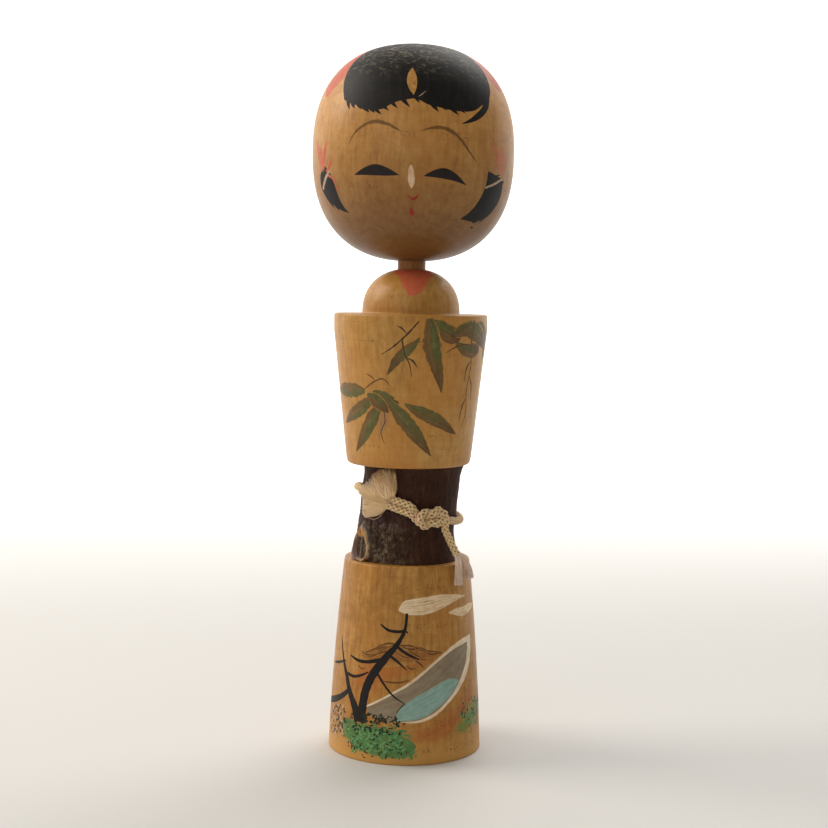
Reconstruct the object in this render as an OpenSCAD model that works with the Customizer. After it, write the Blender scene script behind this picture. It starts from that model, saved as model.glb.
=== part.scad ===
// A kokeshi doll: a turned head that turns on its neck peg, a turned torso, a waist left as
// natural branch with its bark on, a turned skirt, and a braided sash cord tied round the waist.
// Millimetres, +Z up, the origin at the centre of the foot, the face looking along -Y.

/* [Skirt] */
// Height of the skirt block
skirt_h = 66.5; // [40:0.5:100]
// Radius of the skirt at the foot
skirt_foot_r = 26.6; // [22.5:0.1:40]
// Radius of the skirt at the waist
skirt_top_r = 21.7; // [20:0.1:32]
// How far the skirt's side swells beyond a straight taper
skirt_swell = 0.6; // [0:0.1:2]

/* [Waist branch] */
// Height of the branch between the blocks
waist_h = 33; // [26:0.5:60]
// Radius of the branch over its bark
waist_r = 16.9; // [14:0.1:19]
// Thickness of the bark
bark_t = 1.6; // [0.8:0.1:3]
// Radius of the cut twig's stub
stub_r = 5.6; // [3:0.1:6.2]

/* [Torso] */
// Height of the torso block below the shoulder
torso_h = 52; // [35:0.5:80]
// Radius of the torso at the waist
torso_waist_r = 21.4; // [20:0.1:30]
// Radius of the torso at the shoulder
torso_top_r = 26.4; // [22:0.1:38]
// Height of the straight band under the shoulder
torso_band_h = 5.5; // [2:0.5:12]

/* [Shoulder dome] */
// Radius of the dome at its foot
dome_r = 16.8; // [12:0.1:20]
// Height of the dome above the shoulder
dome_h = 15.5; // [10:0.5:24]

/* [Head] */
// Radius of the head
head_r = 34.4; // [20:0.1:45]
// Height of the head
head_h = 73; // [45:0.5:95]
// Gap between the dome and the head, where the peg shows
neck_gap = 2; // [1:0.5:6]

/* [Joinery] */
// Radius of the neck peg
peg_r = 4.8; // [3:0.1:6.5]
// Depth of the neck peg in the torso, below the dome's top
peg_in_torso = 12; // [8:0.5:20]
// Depth of the neck peg's hole in the head
peg_in_head = 14; // [8:0.5:24]
// Radial clearance of the peg in the head, a running fit
head_fit = 0.05; // [0.02:0.01:0.1]
// Radius of the glued dowels
dowel_r = 5; // [3:0.1:7]
// Depth of each dowel hole
dowel_depth = 12; // [8:0.5:13]
// Radial gap for glue round a dowel or a fixed peg
glue_gap = 0.05; // [0.02:0.01:0.1]

/* [Sash cord] */
// Diameter of the braided cord
cord_d = 2.8; // [2:0.1:3.5]

/* [Hidden] */

// colours
pale_wood = [0.80, 0.60, 0.36];
warm_wood = [0.74, 0.52, 0.28];
bark_brown = [0.17, 0.11, 0.09];
cord_cream = [0.86, 0.76, 0.56];
fibre_pale = [0.84, 0.74, 0.64];

// smoothness
round_fn = 96;
skirt_steps = 12;
edge_steps = 5;
dome_steps = 16;
head_steps = 56;

// edges that the turner breaks with sandpaper
skirt_edge = 0.5;
waist_edge = 1.3;
shoulder_edge = 0.8;
peg_chamfer = 0.6;

// how square the turned curves are: 2 is an ellipse, more is squarer
dome_power = 2.3;
head_power = 2.4;

// heights of the joints
waist_z = skirt_h;
torso_z = waist_z + waist_h;
shoulder_z = torso_z + torso_h;
dome_top_z = shoulder_z + dome_h;
head_z = dome_top_z + neck_gap;
end_gap = 0.5;

// the branch: flared at its foot and its top, leaning one way, with a slight sway low down
foot_flare = 1.7;
foot_flare_share = 0.35;
top_flare = 0.8;
top_flare_share = 0.15;
lean = 2.2;
lean_power = 2.5;
sway = 0.6;
lobe_share = 0.01;
lobe_turn = 20;
skin_sides = 30;
skin_rings = 10;

// the stub of the cut twig, low on the branch's left
stub_turn = -65;
stub_z = 6.4;
stub_out = 1.2;

// the cord's routes: azimuth, stand-off from what it lies on, height above the branch's foot
cord_sides = 8;
loop_route = [[40, 2.6, 15.3], [50, 1.8, 14.7], [62, 1.55, 14], [78, 1.55, 13.6], [95, 1.55, 13.6],
    [112, 1.55, 14], [129, 1.55, 14.8], [146, 1.55, 15.9], [163, 1.55, 17.2], [180, 1.55, 18.6],
    [197, 1.55, 20], [214, 1.55, 21.4], [231, 1.55, 22.6], [248, 1.55, 23.6], [265, 1.55, 24.3],
    [282, 1.55, 24.6], [298, 1.55, 24.5], [313, 1.55, 24.1], [327, 1.55, 23.5], [340, 1.55, 22.6],
    [352, 1.6, 21.5], [363, 1.9, 20.2], [370, 2.5, 19.2]];
end_left_route = [[371, 2.6, 16.7], [364, 2, 17.5], [355, 1.6, 18.6], [346, 1.55, 19.5],
    [338, 1.55, 20.2]];
end_right_route = [[34, 3.6, 13.6], [39, 3.5, 12], [42.5, 3.4, 10.2], [45, 3.1, 8.2],
    [47, 2, 6.2], [48.5, 1.3, 4.4], [49.5, 0.9, 3]];

// the hanging end leaves the bark at the first height and clears the skirt's rim by the second
leave_bark_h = 9;
clear_rim_h = 3;

// the knot's envelope: four balls under one skin
knot_ball_r = 2.6;
knot_route = [[13, 3.2, 15.4], [12, 3.2, 18.6], [33, 3.2, 17.6], [36, 3.2, 14.6]];

// the fan of combed-out fibre, as an outline across its face, looking from its own azimuth
fan_turn = -42;
fan_clear = 0.4;
fan_t = 3.4;
fan_outline = [[8.6, 21.5], [8.2, 31.5], [0, 31], [-6, 26], [-12, 16.5], [-4, 16.8], [5.5, 18]];

// the hanging tassel: two bunches, each a route with its radii
front_bunch = [[49.5, 0.9, 3.2], [48.5, 1.9, 0], [48, 2.3, -3.5], [47.5, 2.9, -7]];
rear_bunch = [[52, 1.2, 2.8], [60, 2.2, 1], [65, 2.8, -2], [67, 3.2, -5.5]];
bunch_radii = [1.2, 1.6, 1.8, 1.9];

// a round edge as points from angle a0 to a1 about a centre
function edge_arc(centre, r, a0, a1) = [for (i = [0:edge_steps])
    let (a = a0 + (a1 - a0) * i / edge_steps)
    centre + r * [cos(a), sin(a)]];

// one point of a superellipse with half-axes a and b
function squircle(a, b, power, t) = [a * pow(max(0, cos(t)), 2 / power),
    b * sign(sin(t)) * pow(abs(sin(t)), 2 / power)];

// the branch's radius, its sideways offset, and its skin's distance from the doll's axis
function branch_r(t) = waist_r + foot_flare * pow(max(0, 1 - t / foot_flare_share), 2)
    + top_flare * pow(max(0, (t - 1) / top_flare_share + 1), 2);
function branch_x(t) = lean * pow(t, lean_power) - (t < 0.5 ? sway * sin(360 * t) : 0);
function bark_at(a, h, inset = 0) = let (
        t = min(1, max(0, h / waist_h)),
        x = branch_x(t),
        r = branch_r(t) * (1 + lobe_share * sin(3 * a + lobe_turn)) - inset)
    x * sin(a) + sqrt(r * r - pow(x * cos(a), 2));

// a point at azimuth a from the front, at distance r from the axis
function round_point(a, r, z) = [r * sin(a), -r * cos(a), z];

// what the cord lies on: the bark, and lower down a blend towards the skirt's rim
function rest_at(a, h) = let (
        k = min(1, max(0, (leave_bark_h - h) / (leave_bark_h - clear_rim_h))))
    bark_at(a, h) * (1 - k) + skirt_top_r * k;
function on_rest(p) = round_point(p[0], rest_at(p[0], p[2]) + p[1], waist_z + p[2]);

function unit(v) = v / norm(v);

// the ring of points round place i of a route, square to the route
function ring_at(points, i, r) = let (
        ahead = unit(points[min(i + 1, len(points) - 1)] - points[max(i - 1, 0)]),
        side = unit(cross(ahead, [points[i][0], points[i][1], 0])),
        out = cross(side, ahead))
    [for (k = [0:cord_sides - 1])
        let (a = 360 * (k + 0.5) / cord_sides)
        points[i] + r * (side * cos(a) + out * sin(a))];

// a closed tube through a route, with one radius for each of its points
module tube(route, radii) {
    points = [for (p = route) on_rest(p)];
    n = cord_sides;
    last = len(points) - 1;
    rings = [for (i = [0:last]) each ring_at(points, i, radii[i])];
    sides = [for (i = [0:last - 1], k = [0:n - 1]) each [
        [i * n + k, i * n + (k + 1) % n, (i + 1) * n + k],
        [i * n + (k + 1) % n, (i + 1) * n + (k + 1) % n, (i + 1) * n + k]]];
    ends = [[for (k = [n - 1:-1:0]) k], [for (k = [0:n - 1]) last * n + k]];
    polyhedron(rings, concat(sides, ends));
}

module cord(route) {
    tube(route, [for (p = route) cord_d / 2]);
}

// the points of the branch's skin, ring by ring from the foot, inset from the bark's outside
function skin_points(inset) = [for (i = [0:skin_rings], k = [0:skin_sides - 1])
    let (h = waist_h * i / skin_rings, a = 360 * k / skin_sides)
    round_point(a, bark_at(a, h, inset), waist_z + h)];

// the triangles between those rings, whose points start at place first
function skin_faces(first, outward) = [for (i = [0:skin_rings - 1], k = [0:skin_sides - 1])
    let (
        a = first + i * skin_sides + k,
        b = first + i * skin_sides + (k + 1) % skin_sides,
        c = a + skin_sides,
        d = b + skin_sides)
    each outward ? [[a, c, b], [b, c, d]] : [[a, b, c], [b, d, c]]];

// the branch's skin as a closed solid
module branch_skin(inset) {
    foot = [for (k = [0:skin_sides - 1]) k];
    top = [for (k = [skin_sides - 1:-1:0]) skin_rings * skin_sides + k];
    polyhedron(skin_points(inset), concat(skin_faces(0, true), [foot, top]));
}

// the bark as a sleeve between the skin and its inset
module bark_sleeve() {
    inner = (skin_rings + 1) * skin_sides;
    top = skin_rings * skin_sides;
    rims = [for (k = [0:skin_sides - 1])
        let (next = (k + 1) % skin_sides)
        each [
            [k, next, inner + next],
            [k, inner + next, inner + k],
            [top + next, top + k, inner + top + k],
            [top + next, inner + top + k, inner + top + next]]];
    polyhedron(concat(skin_points(0), skin_points(bark_t)),
        concat(skin_faces(0, true), skin_faces(inner, false), rims));
}

// the cut twig, square to the branch's side
module twig_stub() {
    reach = bark_at(stub_turn, stub_z) + stub_out;
    translate([0, 0, waist_z + stub_z])
        rotate([90, 0, stub_turn])
            cylinder(r = stub_r, h = reach, $fn = round_fn);
}

// a hole for a glued dowel, from a joint's face into the block
module dowel_hole(face_z, up) {
    translate([0, 0, up ? face_z : face_z - dowel_depth])
        cylinder(r = dowel_r + glue_gap, h = dowel_depth, $fn = round_fn);
}

// a pin with chamfered ends
module pin(r, bottom_z, top_z) {
    rotate_extrude($fn = round_fn)
        polygon([[0, bottom_z], [r - peg_chamfer, bottom_z], [r, bottom_z + peg_chamfer],
            [r, top_z - peg_chamfer], [r - peg_chamfer, top_z], [0, top_z]]);
}

module skirt_block() color(warm_wood) {
    side = [for (i = [1:skirt_steps - 1])
        let (t = i / skirt_steps)
        [skirt_foot_r + (skirt_top_r - skirt_foot_r) * t + 4 * skirt_swell * t * (1 - t), skirt_h * t]];
    difference() {
        rotate_extrude($fn = round_fn)
            polygon(concat([[0, 0]],
                edge_arc([skirt_foot_r - skirt_edge, skirt_edge], skirt_edge, -90, 0),
                side,
                edge_arc([skirt_top_r - skirt_edge, skirt_h - skirt_edge], skirt_edge, 0, 90),
                [[0, skirt_h]]));
        dowel_hole(waist_z, false);
    }
}

module lower_dowel() color(pale_wood)
    pin(dowel_r, waist_z - dowel_depth, waist_z + dowel_depth - end_gap);

module waist_branch() color(pale_wood)
    difference() {
        union() {
            branch_skin(bark_t);
            twig_stub();
        }
        dowel_hole(waist_z, true);
        dowel_hole(torso_z, false);
    }

module waist_bark() color(bark_brown)
    difference() {
        bark_sleeve();
        twig_stub();
    }

module upper_dowel() color(pale_wood)
    pin(dowel_r, torso_z - dowel_depth, torso_z + dowel_depth - end_gap);

module torso_block() color(pale_wood) {
    dome = [for (i = [0:dome_steps])
        squircle(dome_r, dome_h, dome_power, 90 * i / dome_steps) + [0, shoulder_z]];
    difference() {
        rotate_extrude($fn = round_fn)
            polygon(concat([[0, torso_z]],
                edge_arc([torso_waist_r - waist_edge, torso_z + waist_edge], waist_edge, -90, 0),
                [[torso_top_r, shoulder_z - torso_band_h]],
                edge_arc([torso_top_r - shoulder_edge, shoulder_z - shoulder_edge], shoulder_edge, 0, 90),
                dome));
        dowel_hole(torso_z, true);
        translate([0, 0, dome_top_z - peg_in_torso])
            cylinder(r = peg_r + glue_gap, h = peg_in_torso + 1, $fn = round_fn);
    }
}

module neck_peg() color(pale_wood)
    pin(peg_r, dome_top_z - peg_in_torso, head_z + peg_in_head - end_gap);

module head() color(pale_wood) {
    half = head_h / 2;
    outline = [for (i = [0:head_steps])
        squircle(head_r, half, head_power, 180 * i / head_steps - 90) + [0, head_z + half]];
    difference() {
        rotate_extrude($fn = round_fn)
            polygon(outline);
        translate([0, 0, head_z - 1])
            cylinder(r = peg_r + head_fit, h = peg_in_head + 1, $fn = round_fn);
    }
}

module obi_loop() color(cord_cream)
    cord(loop_route);

module obi_knot() color(cord_cream)
    hull()
        for (p = knot_route)
            translate(on_rest(p))
                sphere(r = knot_ball_r, $fn = 24);

module obi_end_left() color(cord_cream)
    cord(end_left_route);

module obi_end_right() color(cord_cream)
    cord(end_right_route);

module tassel_left() color(fibre_pale) {
    inner_r = bark_at(fan_turn, waist_h / 2) + fan_clear;
    intersection() {
        translate([0, 0, waist_z])
            difference() {
                cylinder(r = inner_r + fan_t, h = waist_h, $fn = round_fn);
                cylinder(r = inner_r, h = waist_h, $fn = round_fn);
            }
        translate([0, 0, waist_z])
            rotate([90, 0, fan_turn])
                linear_extrude(height = inner_r + fan_t)
                    polygon(fan_outline);
    }
}

module tassel_right() color(fibre_pale) {
    tube(front_bunch, bunch_radii);
    tube(rear_bunch, bunch_radii);
}

skirt_block();
lower_dowel();
waist_branch();
waist_bark();
upper_dowel();
torso_block();
neck_peg();
head();
obi_loop();
obi_knot();
obi_end_left();
obi_end_right();
tassel_left();
tassel_right();
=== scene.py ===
import math

import bpy
import numpy as np
from mathutils import Matrix, Vector


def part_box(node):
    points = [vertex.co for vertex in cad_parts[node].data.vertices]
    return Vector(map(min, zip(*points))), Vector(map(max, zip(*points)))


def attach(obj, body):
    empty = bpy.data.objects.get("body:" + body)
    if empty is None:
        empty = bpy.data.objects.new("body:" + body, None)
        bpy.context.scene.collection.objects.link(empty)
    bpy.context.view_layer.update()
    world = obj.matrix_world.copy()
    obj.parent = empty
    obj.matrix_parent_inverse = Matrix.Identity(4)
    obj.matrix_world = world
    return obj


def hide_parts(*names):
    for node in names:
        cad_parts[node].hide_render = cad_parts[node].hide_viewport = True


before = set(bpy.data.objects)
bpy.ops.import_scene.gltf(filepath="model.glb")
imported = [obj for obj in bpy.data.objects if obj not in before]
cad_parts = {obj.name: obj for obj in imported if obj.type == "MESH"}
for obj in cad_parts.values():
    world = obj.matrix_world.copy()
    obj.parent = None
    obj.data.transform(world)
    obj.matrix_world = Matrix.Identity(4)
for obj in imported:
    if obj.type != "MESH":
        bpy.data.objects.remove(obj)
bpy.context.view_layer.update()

mm = 0.001
rng = np.random.default_rng(8)
print("frame loaded:", len(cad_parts), "nodes")


def smoothLine(points, count):
    # a smooth curve through the points: at each point it runs along the chord between the two beside it
    p = np.asarray(points, float)
    knots = np.concatenate([[0], np.cumsum(np.linalg.norm(np.diff(p, axis=0), axis=1))])
    slope = np.gradient(p, knots, axis=0, edge_order=1)
    t = np.linspace(0, knots[-1], count)
    i = np.clip(np.searchsorted(knots, t, "right") - 1, 0, len(p) - 2)
    h = (knots[i + 1] - knots[i])[:, None]
    s = ((t - knots[i])[:, None]) / h
    return (p[i] * (1 + 2 * s) * (1 - s) ** 2 + slope[i] * h * s * (1 - s) ** 2
            + p[i + 1] * s * s * (3 - 2 * s) + slope[i + 1] * h * s * s * (s - 1))


def evenly(path, step):
    # the same curve with points one step of arc length apart
    along = np.concatenate([[0], np.cumsum(np.linalg.norm(np.diff(path, axis=0), axis=1))])
    t = np.linspace(0, along[-1], max(2, int(round(along[-1] / step)) + 1))
    return np.stack([np.interp(t, along, path[:, k]) for k in range(3)], -1), along[-1]


def unit(v):
    return v / np.maximum(np.linalg.norm(v, axis=-1, keepdims=True), 1e-12)


def gridQuads(rows, cols, wrapped=False):
    # the quads between neighbouring rows and columns of a grid of points
    r = np.arange(rows - 1)[:, None] * cols
    c = np.arange(cols if wrapped else cols - 1)[None, :]
    n = (c + 1) % cols
    return np.stack([r + c, r + n, r + n + cols, r + c + cols], -1).reshape(-1, 4)


def addMesh(name, points, faces, uv=None, material=None, normals=None):
    # normals, one for each point, replace the mesh's own where they are given
    mesh = bpy.data.meshes.new(name)
    mesh.from_pydata(np.asarray(points, float).tolist(), [], [list(map(int, f)) for f in faces])
    mesh.polygons.foreach_set("use_smooth", np.ones(len(mesh.polygons), bool))
    if uv is not None:
        corner = np.zeros(len(mesh.loops), np.int32)
        mesh.loops.foreach_get("vertex_index", corner)
        mesh.uv_layers.new(name="UVMap").data.foreach_set("uv", np.asarray(uv, np.float32)[corner].ravel())
    mesh.update()
    if normals is not None:
        mesh.normals_split_custom_set_from_vertices(np.asarray(normals, float).tolist())
    piece = bpy.data.objects.new(name, mesh)
    bpy.context.scene.collection.objects.link(piece)
    if material is not None:
        mesh.materials.append(material)
    return piece


def keepValue(piece, name, values):
    # one value for each point, for the piece's material
    layer = piece.data.attributes.new(name, "FLOAT", "POINT")
    layer.data.foreach_set("value", np.ravel(values).astype(np.float32))


def addTurned(name, profile, material, sides=224):
    # a profile of radius and height from one pole to the other, carried round the doll's axis
    profile = np.asarray(profile, float)
    angle = np.linspace(0, 2 * np.pi, sides, endpoint=False)
    ring = profile[1:-1]
    points = np.stack([ring[:, :1] * np.sin(angle), -ring[:, :1] * np.cos(angle),
                       np.repeat(ring[:, 1:], sides, 1)], -1).reshape(-1, 3)
    rows = len(ring)
    poles = np.array([[0, 0, profile[0, 1]], [0, 0, profile[-1, 1]]])
    first, last = rows * sides, rows * sides + 1
    k = np.arange(sides)
    faces = gridQuads(rows, sides, True).tolist()
    faces += np.stack([np.full(sides, first), (k + 1) % sides, k], -1).tolist()
    faces += np.stack([np.full(sides, last), k + (rows - 1) * sides,
                       (k + 1) % sides + (rows - 1) * sides], -1).tolist()
    return addMesh(name, np.concatenate([points, poles]), faces, None, material)


def tubeGrid(paths, radii, sides, outward):
    # many tubes at once: rings square to each path, turned so that the first side faces outward
    ahead = unit(np.gradient(paths, axis=1))
    side = unit(np.cross(ahead, outward))
    out = np.cross(side, ahead)
    angle = np.linspace(0, 2 * np.pi, sides, endpoint=False)
    ring = side[:, :, None] * np.cos(angle)[:, None] + out[:, :, None] * np.sin(angle)[:, None]
    return paths[:, :, None] + ring * radii[:, :, None, None]


def addTubes(name, paths, radii, sides, outward, material):
    # closed tubes with a flat end each, all in one mesh; u runs along each tube and v round it
    count, rows = paths.shape[:2]
    points = tubeGrid(paths, radii, sides, outward)
    quads = gridQuads(rows, sides, True)
    start = (np.arange(count) * rows * sides)[:, None, None]
    faces = (quads[None] + start).reshape(-1, 4).tolist()
    loop = np.arange(sides)
    faces += (loop[::-1] + start[:, :, 0]).tolist()
    faces += (loop + (rows - 1) * sides + start[:, :, 0]).tolist()
    along = np.linspace(0, 1, rows)[None, :, None] + np.arange(count)[:, None, None]
    aroundTube = np.abs(np.linspace(-1, 1, sides, endpoint=False))[None, None, :]
    uv = np.stack(np.broadcast_arrays(along, aroundTube), -1)
    return addMesh(name, points.reshape(-1, 3), faces, uv.reshape(-1, 2), material)


def softNoise(x, y, seed, wrap=None):
    # smooth random hills on a unit lattice, between 0 and 1; wrap makes x come round
    table = np.random.default_rng(seed).random((64, 64))
    xi, yi = np.floor(x).astype(int), np.floor(y).astype(int)
    fx, fy = x - xi, y - yi
    fx, fy = fx * fx * (3 - 2 * fx), fy * fy * (3 - 2 * fy)
    x0, x1 = (xi % wrap, (xi + 1) % wrap) if wrap else (xi % 64, (xi + 1) % 64)
    y0, y1 = yi % 64, (yi + 1) % 64
    low = table[y0, x0] * (1 - fx) + table[y0, x1] * fx
    high = table[y1, x0] * (1 - fx) + table[y1, x1] * fx
    return low * (1 - fy) + high * fy


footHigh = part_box("skirt_block")[1]
torsoLow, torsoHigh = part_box("torso_block")
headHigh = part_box("head")[1]
pegLow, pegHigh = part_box("neck_peg")

skirt = dict(foot=0.0, top=footHigh.z, footRadius=footHigh.x, topRadius=21.7 * mm, swell=0.6 * mm,
             edge=0.5 * mm, boreRadius=5.05 * mm, boreDepth=12 * mm)
waist = dict(foot=footHigh.z, height=torsoLow.z - footHigh.z, radius=16.9 * mm, bark=1.6 * mm,
             footFlare=1.7 * mm, footShare=0.35, topFlare=0.8 * mm, topShare=0.15,
             lean=2.2 * mm, leanPower=2.5, sway=0.6 * mm, lobe=0.01, lobeTurn=20)
torso = dict(foot=torsoLow.z, shoulder=torsoHigh.z - 15.5 * mm, waistRadius=21.4 * mm,
             topRadius=torsoHigh.x, band=5.5 * mm, waistEdge=1.3 * mm, shoulderEdge=0.8 * mm,
             domeRadius=16.8 * mm, domeHeight=15.5 * mm, domePower=2.3, domeFillet=0.6 * mm,
            boreDepth=12 * mm)
head = dict(radius=headHigh.x, half=36.5 * mm, centre=headHigh.z - 36.5 * mm, power=2.4,
            boreRadius=4.85 * mm, boreDepth=14 * mm)
cordSize = dict(diameter=2.8 * mm, leaveBark=9, clearRim=3)


def skirtRadius(z):
    # a straight taper with a slight swell
    t = np.clip(z / skirt["top"], 0, 1)
    return (skirt["footRadius"] + (skirt["topRadius"] - skirt["footRadius"]) * t
            + 4 * skirt["swell"] * t * (1 - t))


def torsoRadius(z):
    # a straight taper up to an even band under the shoulder
    t = np.clip((z - torso["foot"]) / (torso["shoulder"] - torso["band"] - torso["foot"]), 0, 1)
    return torso["waistRadius"] + (torso["topRadius"] - torso["waistRadius"]) * t


def domeRadius(z):
    # a quarter of a squarish ellipse
    t = np.clip((z - torso["shoulder"]) / torso["domeHeight"], 0, 1)
    return torso["domeRadius"] * (1 - t ** torso["domePower"]) ** (1 / torso["domePower"])


def headRadius(z):
    # a squarish ellipse about the head's centre
    t = np.clip(np.abs(z - head["centre"]) / head["half"], 0, 1)
    return head["radius"] * (1 - t ** head["power"]) ** (1 / head["power"])


def barkRadius(azimuth, height):
    # the bark's distance from the doll's axis: an offset circle with three faint lobes
    t = np.clip(height / waist["height"], 0, 1)
    a = np.radians(azimuth)
    sway = np.where(t < 0.5, waist["sway"] * np.sin(2 * np.pi * t), 0)
    x = waist["lean"] * t ** waist["leanPower"] - sway
    r = (waist["radius"] + waist["footFlare"] * np.maximum(0, 1 - t / waist["footShare"]) ** 2
         + waist["topFlare"] * np.maximum(0, (t - 1) / waist["topShare"] + 1) ** 2)
    r = r * (1 + waist["lobe"] * np.sin(3 * a + np.radians(waist["lobeTurn"])))
    return x * np.sin(a) + np.sqrt(r * r - (x * np.cos(a)) ** 2)


def roundPoint(azimuth, radius, z):
    # the point at an azimuth from the front, in degrees, at a distance from the doll's axis
    a = np.radians(azimuth)
    return np.stack(np.broadcast_arrays(radius * np.sin(a), -radius * np.cos(a), z), -1)


view = dict(side=1.64 * mm, back=528.8 * mm, height=159.3 * mm, down=4.64, roll=0.92, lens=66.52)
cameraData = bpy.data.cameras.new("camera")
cameraData.lens = view["lens"]
cameraData.sensor_width = 36
cameraData.clip_start = 0.01
cameraData.clip_end = 50
camera = bpy.data.objects.new("camera", cameraData)
bpy.context.scene.collection.objects.link(camera)
camera.location = (view["side"], -view["back"], view["height"])
camera.rotation_mode = "XYZ"
tilt, roll = math.radians(90 - view["down"]), math.radians(view["roll"])
camera.rotation_euler = (Matrix.Rotation(tilt, 3, "X") @ Matrix.Rotation(roll, 3, "Z")).to_euler()
bpy.context.scene.camera = camera


def addNode(tree, kind, inputs=None, **settings):
    # inputs by name or number: another node's output is linked, and any other value is set
    node = tree.nodes.new(kind)
    for key, value in settings.items():
        setattr(node, key, value)
    for key, value in (inputs or {}).items():
        if isinstance(value, bpy.types.NodeSocket):
            tree.links.new(value, node.inputs[key])
        else:
            node.inputs[key].default_value = value
    return node


def colour(values):
    # a colour as the eye reads it, from 0 to 255, as linear light
    c = np.asarray(values, float) / 255
    return tuple(np.where(c <= 0.04045, c / 12.92, ((c + 0.055) / 1.055) ** 2.4)) + (1.0,)


def maths(tree, operation, a, b=0.0):
    return addNode(tree, "ShaderNodeMath", {0: a, 1: b}, operation=operation).outputs[0]


def times(tree, a, b):
    return maths(tree, "MULTIPLY", a, b)


def plus(tree, a, b):
    return maths(tree, "ADD", a, b)


def swing(tree, value, size, middle=0.5):
    # a pattern about its middle, made larger or smaller
    return times(tree, maths(tree, "SUBTRACT", value, middle), size)


def hump(tree, value):
    # 1 half way along and 0 at both ends
    return maths(tree, "SUBTRACT", 1.0, maths(tree, "ABSOLUTE", maths(tree, "SUBTRACT",
                 times(tree, value, 2.0), 1.0)))


def spread(tree, value, low, high, top=1.0, kind="LINEAR"):
    # 0 at low, top at high
    return addNode(tree, "ShaderNodeMapRange", {"Value": value, "From Min": low, "From Max": high,
                   "To Max": top}, interpolation_type=kind).outputs[0]


def objectPlace(tree):
    return addNode(tree, "ShaderNodeTexCoord").outputs["Object"]


def uvPlace(tree):
    return addNode(tree, "ShaderNodeUVMap").outputs[0]


def axes(tree, vector):
    return addNode(tree, "ShaderNodeSeparateXYZ", {0: vector}).outputs


def pointValue(tree, name):
    # a value that the mesh holds for each point
    return addNode(tree, "ShaderNodeAttribute", attribute_name=name).outputs["Fac"]


def mixed(tree, factor, a, b):
    return addNode(tree, "ShaderNodeMix", {0: factor, 6: a, 7: b}, data_type="RGBA").outputs[2]


def tinted(tree, base, mask, share, tint):
    # the base with a tint over it where the mask is, up to a share
    return mixed(tree, times(tree, mask, share), base, colour(tint))


def ramp(tree, factor, stops):
    node = addNode(tree, "ShaderNodeValToRGB", {0: factor})
    while len(node.color_ramp.elements) < len(stops):
        node.color_ramp.elements.new(0.5)
    for element, (place, value) in zip(node.color_ramp.elements, stops):
        element.position = place
        element.color = value if hasattr(value, "__len__") else (value, value, value, 1)
    return node.outputs[0]


def noise(tree, vector, scale, detail=3.0, rough=0.55, distortion=0.0):
    return addNode(tree, "ShaderNodeTexNoise", {"Vector": vector, "Scale": scale, "Detail": detail,
                   "Roughness": rough, "Distortion": distortion}).outputs[0]


def placed(tree, vector, scale=(1, 1, 1), shift=(0, 0, 0), turn=(0, 0, 0)):
    return addNode(tree, "ShaderNodeMapping", {"Vector": vector, "Scale": scale, "Location": shift,
                   "Rotation": turn}).outputs[0]


def newMaterial(name):
    material = bpy.data.materials.new(name)
    material.use_nodes = True
    tree = material.node_tree
    tree.nodes.clear()
    shader = addNode(tree, "ShaderNodeBsdfPrincipled")
    addNode(tree, "ShaderNodeOutputMaterial", {"Surface": shader.outputs[0]})
    return material, tree, shader


def setShader(tree, shader, base, roughness, bump=None, bumpDepth=0.0001, bumpStrength=0.3, **sockets):
    # links the colour, roughness and bump, and sets the even values on the shader's own sockets
    tree.links.new(base, shader.inputs["Base Color"])
    if isinstance(roughness, bpy.types.NodeSocket):
        tree.links.new(roughness, shader.inputs["Roughness"])
    else:
        shader.inputs["Roughness"].default_value = roughness
    for key, value in sockets.items():
        shader.inputs[key.replace("_", " ")].default_value = value
    if bump is not None:
        node = addNode(tree, "ShaderNodeBump", {"Height": bump, "Distance": bumpDepth,
                       "Strength": bumpStrength})
        tree.links.new(node.outputs[0], shader.inputs["Normal"])


# on the head, the low tint darkens the wood from the forehead down to the chin: partly a stain, and partly
# painted shade for light that falls from above
headWood = dict(light=(228, 176, 104), mid=(202, 146, 76), dark=(144, 96, 40), knot=(88, 54, 24),
                warm=(184, 116, 48), pith=(9 * mm, 12 * mm, 0), lean=(0.05, -0.03, 0), rings=118.0,
                ringShare=0.07, shift=(0.3, 0.1, 0.0), lowTint=(68, 35, 12), lowTintTop=224 * mm, lowTintLow=167 * mm,
                flecks=0.5)
torsoWood = dict(light=(208, 164, 96), mid=(188, 138, 68), dark=(144, 94, 36), knot=(88, 54, 24),
                 warm=(196, 128, 50), pith=(-13 * mm, 16 * mm, 0), lean=(0.02, 0.06, 0), rings=128.0,
                 ringShare=0.06, shift=(0.7, 0.4, 0.2), lowTint=(170, 108, 42), lowTintTop=106 * mm,
                 lowTintLow=92 * mm, flecks=0.55)
skirtWood = dict(light=(206, 156, 84), mid=(174, 122, 54), dark=(126, 80, 30), knot=(92, 54, 24),
                 warm=(188, 120, 42), pith=(14 * mm, 11 * mm, 0), lean=(-0.03, 0.03, 0), rings=142.0,
                 ringShare=0.10, shift=(0.1, 0.9, 0.5), lowTint=(208, 154, 78), lowTintTop=13 * mm,
                 lowTintLow=1 * mm, flecks=0.7)
# the torso's wood made darker for the neck peg: painted shade for the shadow under the head
shadedPegWood = dict(torsoWood, light=(150, 108, 60), mid=(122, 82, 40), dark=(90, 56, 24))


# how much each pattern darkens the wood, with the flecks' own share beside each wood's colours
woodShares = dict(fibre=0.36, broad=0.60, curl=0.50, lathe=0.12, contrast=1.4, start=0.40, smudge=0.42,
                  warm=0.45, lowTint=0.8, specks=0.75, knots=0.45)


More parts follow.
